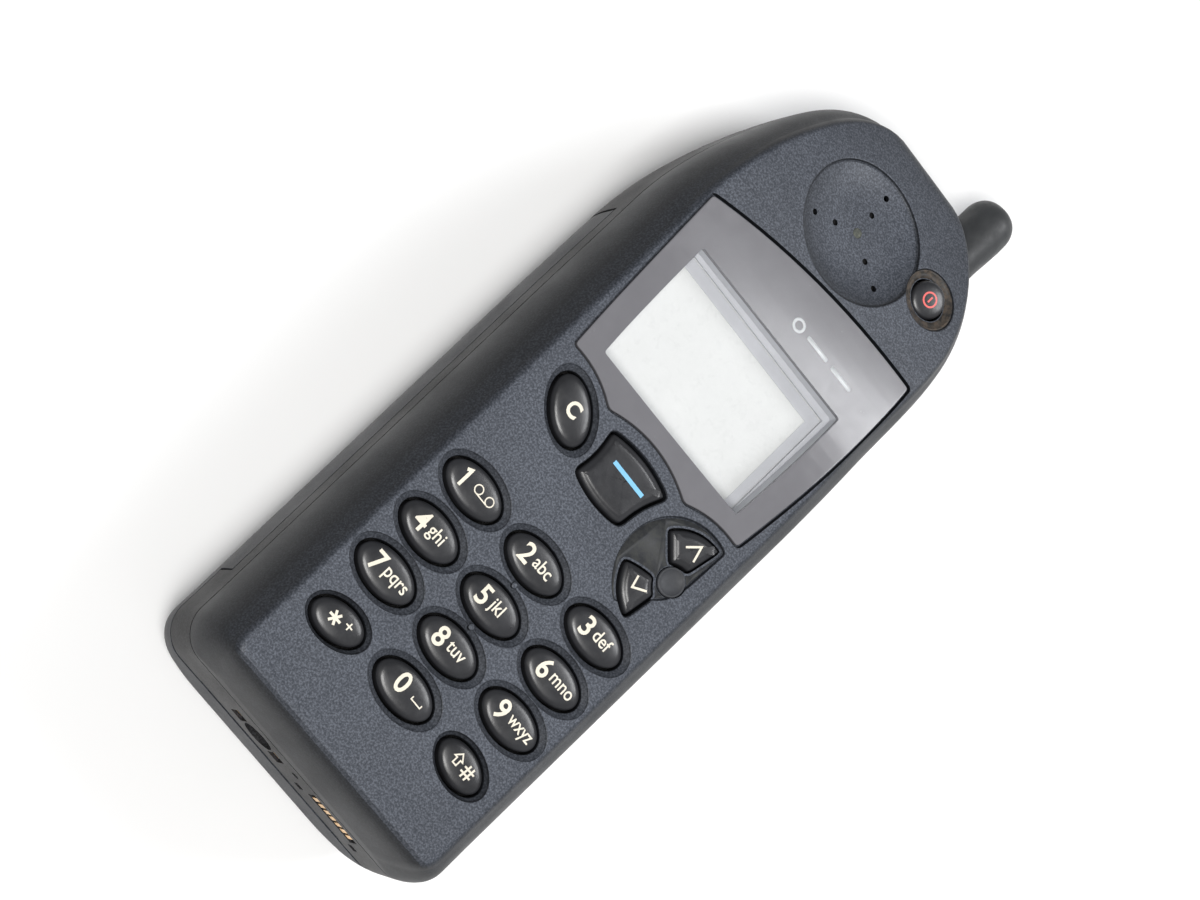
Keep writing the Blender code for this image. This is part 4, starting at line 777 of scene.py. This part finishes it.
def oval_cap(name, centre, half, tilt):
    bm = bmesh.new()
    rings = [[(x, y, -2.6) for x, y in ellipse(centre, half, tilt, 72)]]
    for r, z in reversed(PROFILE[1:]):
        rings.append([(x, y, z) for x, y in ellipse(centre, (half[0] * r, half[1] * r), tilt, 72)])
    loft(bm, rings)
    obj = make(name + "_cap", bm, M["key"])
    crisp(obj, 40.0)
    return place(obj, name + "_body", (name,))


def shaped_cap(name, outline, crown):
    """Cap with a flat-topped rise and a rounded shoulder that follows its outline."""
    cap = grown(outline, -0.32)
    cx = sum(p[0] for p in cap) / len(cap)
    cy = sum(p[1] for p in cap) / len(cap)
    rings = [[(x, y, -2.6) for x, y in cap]]
    for inset, z in ((0.0, -0.5), (0.05, -0.28), (0.14, -0.12), (0.3, 0.02), (0.48, 0.1), (0.62, 0.17),
                     (0.74, 0.26), (0.92, 0.33), (1.15, 0.36)):
        rings.append([(x, y, z) for x, y in grown(cap, -inset)])
    last = rings[-1]
    for f in (0.8, 0.55, 0.3, 0.1):
        rings.append([(cx + (x - cx) * f, cy + (y - cy) * f, 0.36 + crown * (1 - f * f)) for x, y, _ in last])
    bm = bmesh.new()
    loft(bm, rings)
    obj = make(name + "_cap", bm, M["key"])
    crisp(obj, 40.0)
    return place(obj, name + "_body", (name,))


def text_mesh(bm, body, size, x, y, bold=0.0, width=1.0, from_left=False):
    """Flat letters centred on x, or starting there, with their foot at y."""
    curve = bpy.data.curves.new("letters", "FONT")
    curve.body = body
    curve.size = size
    curve.offset = bold
    curve.resolution_u = 4
    obj = bpy.data.objects.new("letters", curve)
    bpy.context.scene.collection.objects.link(obj)
    graph = bpy.context.evaluated_depsgraph_get()
    mesh = bpy.data.meshes.new_from_object(obj.evaluated_get(graph), depsgraph=graph)
    xs = [v.co.x for v in mesh.vertices]
    middle = min(xs) if from_left else (min(xs) + max(xs)) / 2
    for vert in mesh.vertices:
        vert.co = Vector(((vert.co.x - middle) * width + x, vert.co.y + y, 0.0))
    bm.from_mesh(mesh)
    bpy.data.objects.remove(obj, do_unlink=True)
    bpy.data.curves.remove(curve)


def split_long(bm, limit):
    for _ in range(5):
        long = [e for e in bm.edges if e.calc_length() > limit]
        if not long:
            break
        bmesh.ops.subdivide_edges(bm, edges=long, cuts=1)
        bmesh.ops.triangulate(bm, faces=[f for f in bm.faces if len(f.verts) > 4])


def legend(name, body, fill, height, mat, lift=0.015):
    """Printed legend laid on a cap: drawn flat by fill, then raised to the cap's surface."""
    bm = bmesh.new()
    fill(bm)
    split_long(bm, 0.45)
    for vert in bm.verts:
        vert.co.z += height(vert.co.x, vert.co.y) + lift
    obj = make(name, bm, mat, smooth=False, weld=0)
    return place(obj, body)


def strokes(bm, lines, width, offset=(0.0, 0.0)):
    for points, closed in lines:
        moved = [(x + offset[0], y + offset[1]) for x, y in points]
        ribbon(bm, moved, width, closed, 0.0, 0.012)


LETTERS = {"2": "abc", "3": "def", "4": "ghi", "5": "jkl", "6": "mno", "7": "pqrs", "8": "tuv", "9": "wxyz"}
STAR = [([(0.95 * math.cos(a), 0.95 * math.sin(a)), (-0.95 * math.cos(a), -0.95 * math.sin(a))], False)
        for a in (math.radians(d) for d in (0, 60, 120))]
PLUS = [([(-0.55, 0), (0.55, 0)], False), ([(0, -0.55), (0, 0.55)], False)]
HASH = [([(-0.42, -1.0), (-0.2, 1.0)], False), ([(0.25, -1.0), (0.47, 1.0)], False),
        ([(-0.85, 0.36), (0.95, 0.36)], False), ([(-0.95, -0.36), (0.85, -0.36)], False)]
SHIFT = [([(0, 0.95), (-0.72, 0.1), (-0.32, 0.1), (-0.32, -0.75), (0.32, -0.75), (0.32, 0.1), (0.72, 0.1)], True)]
SPACE = [([(-0.85, 0.45), (-0.85, 0.0), (0.85, 0.0), (0.85, 0.45)], False)]


def build_keys():
    for name, centre, hole, tilt, _ in oval_keys():
        half = (hole[0] - 0.36, hole[1] - 0.36)
        oval_cap(name, centre, half, tilt)
        height = oval_dome(centre, half, tilt)
        cx, cy = centre
        which = name[4:]

        def fill(bm):
            if which == "star":
                strokes(bm, STAR, 0.36, (cx - 0.85, cy - 0.05))
                strokes(bm, PLUS, 0.2, (cx + 1.25, cy + 0.55))
            elif which == "hash":
                strokes(bm, SHIFT, 0.2, (cx - 1.05, cy + 0.25))
                strokes(bm, HASH, 0.27, (cx + 1.05, cy - 0.02))
            elif which == "clear":
                text_mesh(bm, "C", 3.1, cx, cy - 0.87, 0.1, 0.92)
            elif which == "0":
                text_mesh(bm, "0", 3.95, cx - 1.05, cy - 0.95, 0.07, 0.95)
                strokes(bm, SPACE, 0.17, (cx + 2.05, cy - 0.2))
            elif which == "1":
                strokes(bm, [([(-2.75, 0.95), (-2.15, 1.28), (-2.15, -1.3)], False)], 0.46, (cx, cy))
                strokes(bm, [(circle((0.2, 0.35), 0.62), True), (circle((2.35, 0.35), 0.62), True),
                             ([(0.2, -0.27), (2.35, -0.27)], False)], 0.17, (cx, cy))
            else:
                text_mesh(bm, which, 3.9, cx - 1.95, cy - 1.25, 0.07, 0.95)
                wide = 0.78 if which == "9" else 0.88
                text_mesh(bm, LETTERS[which], 2.6, cx - 0.55, cy - 0.55, 0.022, wide, True)

        legend(name + "_legend", name + "_body", fill, height, M["legend"])


def build_shaped_keys():
    def level(x, y):
        return 0.375

    shaped_cap("key_menu", menu_outline(), 0.03)
    legend("key_menu_legend", "key_menu_body",
           lambda bm: ribbon(bm, [(-2.7, 16.75), (0.3, 16.72), (3.25, 16.7)], 0.62, False, 0, 0.012),
           lambda x, y: 0.39, M["bar"])
    shaped_cap("key_up", up_outline(), 0.02)
    legend("key_up_legend", "key_up_body",
           lambda bm: ribbon(bm, [(12.25, 17.05), (13.78, 18.75), (14.42, 16.55)], 0.3, False, 0, 0.012),
           level, M["legend"])
    shaped_cap("key_down", down_outline(), 0.02)
    legend("key_down_legend", "key_down_body",
           lambda bm: ribbon(bm, [(10.5, 9.6), (10.98, 7.95), (12.8, 9.1)], 0.3, False, 0, 0.012),
           level, M["legend"])
    build_power_key()


def build_power_key():
    x0, y0 = POWER
    face = -face_drop(y0)
    profile = ((1.0, -4.2), (1.0, -0.95), (0.985, -0.72), (0.94, -0.52), (0.86, -0.37), (0.74, -0.27),
               (0.56, -0.19), (0.36, -0.14), (0.15, -0.12))
    bm = bmesh.new()
    loft(bm, [[(x, y, face + z) for x, y in circle(POWER, POWER_RADIUS * r, 48)] for r, z in profile])
    cap = make("key_power_cap", bm, M["key"])
    crisp(cap, 40.0)
    place(cap, "key_power_body", ("key_power",))

    def fill(bm):
        ribbon(bm, circle((x0, y0), 1.02, 32), 0.26, True, 0, 0.012)
        ribbon(bm, [(x0, y0 - 0.5), (x0, y0 + 0.5)], 0.26, False, 0, 0.012)

    legend("key_power_legend", "key_power_body", fill,
           lambda x, y: face - 0.12 - 0.045 * (math.hypot(x - x0, y - y0)) ** 1.5, M["power"])


DOT_PROFILE = ((2.02, -0.95), (2.02, -0.3), (1.95, -0.16), (1.8, -0.14),
               (1.66, -0.22), (1.5, -0.34), (0.6, -0.42))
GRIME_TOP = ((POWER_RADIUS + 0.42, -0.93), (POWER_RADIUS + 0.9, -0.86),
             (POWER_DISH - 0.4, -0.6), (POWER_DISH - 0.16, -0.28))
GRIME_UNDER = ((POWER_RADIUS + 0.42, -0.97), (POWER_RADIUS + 0.9, -0.9),
               (POWER_DISH - 0.4, -0.64), (POWER_DISH - 0.16, -0.32))


def build_face_details():
    """Small laid-in pieces of the face: sector, dot, grime ring, ear dimple."""
    bm = bmesh.new()
    loft(bm, [[(x, y, z) for x, y in circle(DOT, r, 48)] for r, z in DOT_PROFILE])
    place(make("scroll_dot", bm, M["dot"]), "cover")
    field = sheet_on_face("scroll_sector", grown(field_outline(), -0.16), 0.5, M["field"],
                          "cover", 0.04, False)
    for i, outline in enumerate((up_outline(), down_outline(), circle(DOT, DOT_RADIUS + 0.1, 48))):
        grow = 0.3 if i < 2 else 0.0
        tool = shell_tool("t_field_%d" % i, lambda b: prism(b, grown(outline, grow), -3.0, 1.0))
        carve(field, [(tool, "DIFFERENCE")])
    bm = bmesh.new()
    rings = []
    for r, z in GRIME_TOP:
        rings.append([(x, y, z) for x, y in circle(POWER, r, 56)])
    for r, z in reversed(GRIME_UNDER):
        rings.append([(x, y, z) for x, y in circle(POWER, r, 56)])
    loft(bm, rings + [rings[0]], False)
    follow_face(bm)
    place(make("power_grime", bm, M["grime"]), "cover")
    bm = bmesh.new()
    loft(bm, [[(x, y, -face_drop(EAR[1]) + z) for x, y in circle(EAR, r, 24)]
              for r, z in ((0.72, -1.89), (0.72, -1.81), (0.5, -1.77), (0.2, -1.76))])
    place(make("ear_dimple", bm, M["dirt"]), "cover")


# ------------------------------------------------------------------ rear housing, battery and antenna
def build_housing():
    bm = bmesh.new()
    loft(bm, [back_section(y, 0.0, seam_z(y) - FIT, 0.0, back_rounding(y, BOTTOM, TOP))
              for y in stations(step=3.0)])
    housing = make("housing_shell", bm, M["rear"])
    lip = 2.1
    inner = 3.1
    z = -ANTENNA_DEPTH

    def add_lip(b):
        loft(b, [tub_section(y, lip, seam_z(y) - 2.0, seam_z(y) + 1.5) for y in stations(lip, step=5.0)])

    def bay(b):
        box(b, (-30, 30), (BAY_START, BAY_END), (-40.0, -BAY_FLOOR))

    def chin(b):
        box(b, (-30, 30), (-50, BAY_START + 0.01), (-40.0, -CHIN_DEPTH))

    def groove(b):
        rod(b, (-14, HINGE_Y, -HINGE_DEPTH), (14, HINGE_Y, -HINGE_DEPTH), 1.1, 24)

    def hollow(b):
        loft(b, [tub_section(y, inner, -12.1, 5.0) for y in stations(inner, step=5.0)])

    def deep(b):
        loft(b, [back_section(y, inner, -11.1, 3.6, back_rounding(y, -99, TOP - 2, 3))
                 for y in stations(inner, BAY_END + 2.5)])
        box(b, (-15.5, 17.5), (BOTTOM + 1.8, BAY_START - 1.4), (-18.5, -11.1))

    def bosses(b):
        box(b, (ANTENNA_X - 4.4, ANTENNA_X + 3.6), (59.5, 67.8), (z - 5.2, z + 3.4))

    def antenna(b):
        rod(b, (ANTENNA_X, ANTENNA_ROOT - FIT, z), (ANTENNA_X, 99, z), ANTENNA_RADIUS + FIT, 48)

    def stud(b):
        rod(b, (ANTENNA_X, 61.5, z), (ANTENNA_X, 75, z), 2.5, 24)

    def ends(b):
        end = (BOTTOM - 3, BOTTOM + 2.2)
        rod(b, (-4.7, end[0], -15.4), (-4.7, end[1], -15.4), 2.4, 40)
        for side in (-1, 1):
            box(b, (-4.7 + side * 3.65 - 1.0, -4.7 + side * 3.65 + 1.0), end, (-17.0, -14.2))
        box(b, (5.3, 13.9), end, (-15.2, -12.6))
        rod(b, (2.0, end[0], -13.7), (2.0, end[1], -13.7), 0.6, 20)
        for x in (4.1, 15.1):
            box(b, (x - 0.6, x + 0.6), (end[0], BOTTOM + 1.1), (-17.3, -15.9))

    def floor(b):
        box(b, (-14.2, 14.2), (-10.5, 21.6), (-20, -12.9))
        box(b, (-9.3, 9.3), (34.5, 40.5), (-20, -10.0))

    def pockets(b):
        box(b, (-8.0, 8.0), (BAY_END - 1.0, BAY_END + 13.0), (-40.0, back_z(BAY_END) + 2.3))
        rod(b, (10.5, 64.5, -40), (10.5, 64.5, back_z(64.5) + 2.0), 2.9, 32)

    tools = [(add_lip, "UNION")] + [(f, "DIFFERENCE") for f in (bay, chin, groove, hollow, deep)]
    tools += [(bosses, "UNION")] + [(f, "DIFFERENCE") for f in (antenna, stud, ends, floor, pockets)]
    carve(housing, [(shell_tool("t_" + f.__name__, f), how) for f, how in tools])
    crisp(housing, 22.0)
    return place(housing, "chassis", ("rear_housing",))


def build_battery():
    top, end = -BAY_FLOOR - FIT, BAY_END - 0.5
    bm = bmesh.new()
    loft(bm, [back_section(y, 0.0, top, 0.0, back_rounding(y, BOTTOM, end, 4.0) if y < 0 else back_rounding(y, -99, end, 0.5))
              for y in stations(0.0, None, end, 3.0)])
    case = make("battery_shell", bm, M["battery"])

    def chin(b):
        low = -CHIN_DEPTH - FIT
        side = ((BOTTOM - 3, low - 2.4), (HINGE_Y - 0.2, low), (BAY_START + FIT, low),
                (BAY_START + FIT, 0.0), (BOTTOM - 3, 0.0))
        loft(b, [[(x, y, z) for y, z in side] for x in (-30, 30)])

    def room(b):
        loft(b, [back_section(y, 1.8, 0.0, 1.6) for y in (BAY_START + 2.0, 0.0, 30.0, end - 1.6)])

    def bars(b):
        bar = []
        for step in range(0, 181, 10):
            a = math.radians(step)
            bar.append((HINGE_Y + 0.8 * math.cos(a), 0.8 * math.sin(a)))
        bar += [(-37.78, -2.6), (-36.5, -2.6)]
        for x in (-8.0, 8.0):
            loft(b, [[(px, y, z - HINGE_DEPTH) for y, z in bar] for px in (x - 5, x + 5)])

    def grooves(b):
        for i in range(5):
            y = 34.0 - 1.5 * i
            loft(b, [[(x, y - 0.3, -THICKNESS - 1), (x, y + 0.3, -THICKNESS - 1),
                      (x, y + 0.12, -THICKNESS + 0.35), (x, y - 0.12, -THICKNESS + 0.35)] for x in (-7.0, 7.0)])

    carve(case, [(shell_tool("t_chin", chin), "DIFFERENCE"), (shell_tool("t_room", room), "DIFFERENCE"),
                 (shell_tool("t_bars", bars), "UNION"), (shell_tool("t_grooves", grooves), "DIFFERENCE")])
    crisp(case, 22.0)
    return place(case, "battery", ("battery_case",))


def build_contacts():
    """Seven spring contacts with tips that show in the end opening."""
    bm = bmesh.new()
    top = -12.9
    box(bm, (5.95, 13.25), (-34.0, -33.0), (top, top + 0.25))
    for i in range(7):
        x = 6.3 + 1.1 * i
        side = ((-34.0, top), (-37.75, top), (-37.95, top - 0.12), (-38.0, top - 2.0), (-38.22, top - 2.0),
                (-38.22, top - 0.15), (-37.95, top + 0.2), (-37.7, top + 0.25), (-34.0, top + 0.25))
        loft(bm, [[(px, y, z) for y, z in side] for px in (x - 0.35, x + 0.35)])
    place(make("data_contacts", bm, M["gold"], smooth=False), "chassis", ("connector_contacts",))


def build_antenna():
    z = -ANTENNA_DEPTH
    r, tip = ANTENNA_RADIUS, ANTENNA_TIP
    profile = [(r - 0.35, ANTENNA_ROOT), (r - 0.35, 80.0), (r - 0.28, 84.0), (r - 0.1, 87.0), (r, 88.8)]
    for i in range(1, 15):
        a = 0.5 * math.pi * i / 14.4
        profile.append((r * (0.42 + 0.58 * math.cos(a)) if i < 14 else r * 0.4, tip - 3.3 + 3.3 * math.sin(a)))
    profile.append((r * 0.15, tip))
    bm = bmesh.new()
    loft(bm, [[(ANTENNA_X + x, y, z + zz) for x, zz in circle((0, 0), radius, 56)] for radius, y in profile])
    stub = make("antenna_cover", bm, M["antenna"])
    carve(stub, [(shell_tool("t_socket", lambda b: rod(b, (ANTENNA_X, ANTENNA_ROOT - 1, z),
                                                        (ANTENNA_X, ANTENNA_ROOT + 5.3, z), 2.5, 32)), "DIFFERENCE")])
    crisp(stub, 30.0)
    place(stub, "chassis", ("antenna_stub",))


def dress_frame():
    """Better materials for the CAD nodes that stay."""
    looks = {
        "battery_latch": "battery", "battery_lid": "battery", "keypad_web": "web", "dome_sheet": "dome",
        "main_board": "board", "power_board": "board", "lcd_frame": "bezel_and_shadow_band", "lcd_glass": "lcd",
        "light_guide": "guide", "dc_jack": "black", "system_connector": "black", "buzzer": "black",
        "connector_contacts": "gold", "charge_contact_left": "gold", "charge_contact_right": "gold",
        "battery_terminals": "gold", "battery_contacts": "gold", "antenna_stud": "brass",
        "test_socket_plug": "antenna", "earpiece_gasket": "foam", "earpiece_mesh": "cloth", "sim_card": "card",
        "battery_cell_1": "sleeve", "battery_cell_2": "sleeve", "battery_cell_3": "sleeve",
    }
    for name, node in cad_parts.items():
        mat = M[looks.get(name, "steel")]
        if node.data.materials:
            for i in range(len(node.data.materials)):
                node.data.materials[i] = mat
        else:
            node.data.materials.append(mat)


# ------------------------------------------------------------------ stage, light and camera
def build_stage():
    bm = bmesh.new()
    reach = 1600.0
    bm.faces.new([bm.verts.new((x, y, -THICKNESS - 0.05))
                  for x, y in ((-reach, -reach), (reach, -reach), (reach, reach), (-reach, reach))])
    n = Nodes("looks_floor")
    tone = n.ramp(n.noise(14.0, 3.0), ((0.3, 0.86), (0.7, 0.9)))
    floor = make("floor", bm, n.finish(tone, 0.7, n.noise(900.0, 3.0), 0.05, 0.0001))
    world = bpy.data.worlds.new("studio")
    world.use_nodes = True
    tree = world.node_tree
    split = tree.nodes.new("ShaderNodeSeparateXYZ")
    tree.links.new(tree.nodes.new("ShaderNodeTexCoord").outputs["Generated"], split.inputs[0])
    ramp = tree.nodes.new("ShaderNodeValToRGB")
    ramp.color_ramp.elements[0].position, ramp.color_ramp.elements[0].color = 0.0, (0.4, 0.41, 0.43, 1.0)
    ramp.color_ramp.elements[1].position, ramp.color_ramp.elements[1].color = 0.9, (0.95, 0.96, 0.98, 1.0)
    tree.links.new(split.outputs["X"], ramp.inputs[0])
    tree.links.new(ramp.outputs[0], tree.nodes["Background"].inputs[0])
    tree.nodes["Background"].inputs[1].default_value = 0.5
    bpy.context.scene.world = world
    lamp("key_light", (-0.12, -0.38, 0.95), (0.0, 0.0, 0.02), 0.4, 10.0, (1.0, 0.99, 0.97))
    lamp("side_light", (0.5, 0.64, 0.72), (0.0, 0.0, 0.0), 0.42, 5.5, (0.97, 0.98, 1.0))


def lamp(name, where, at, size, power, colour):
    data = bpy.data.lights.new(name, "AREA")
    data.shape = "SQUARE"
    data.size = size
    data.energy = power
    data.color = colour
    obj = bpy.data.objects.new(name, data)
    obj.location = where
    obj.rotation_euler = (Vector(at) - Vector(where)).to_track_quat("-Z", "Y").to_euler()
    bpy.context.scene.collection.objects.link(obj)


def build_camera():
    data = bpy.data.cameras.new("camera")
    data.lens = 90.0
    data.sensor_width = 36.0
    data.clip_start = 0.01
    obj = bpy.data.objects.new("camera", data)
    rows = ((0.60547326, 0.6849586, 0.40525776), (-0.75510801, 0.6552757, 0.02063128),
            (-0.25142399, -0.31850507, 0.91396964))
    turn = Matrix(rows).transposed().to_4x4()
    obj.matrix_world = Matrix.Translation((-0.10162, -0.13372, 0.38169)) @ turn
    bpy.context.scene.collection.objects.link(obj)
    bpy.context.scene.camera = obj


dress_frame()
build_cover()
build_window()
build_keys()
build_shaped_keys()
build_face_details()
build_housing()
build_battery()
build_antenna()
build_contacts()
build_stage()
build_camera()
bpy.context.scene.view_settings.view_transform = "Standard"

bpy.context.view_layer.update()
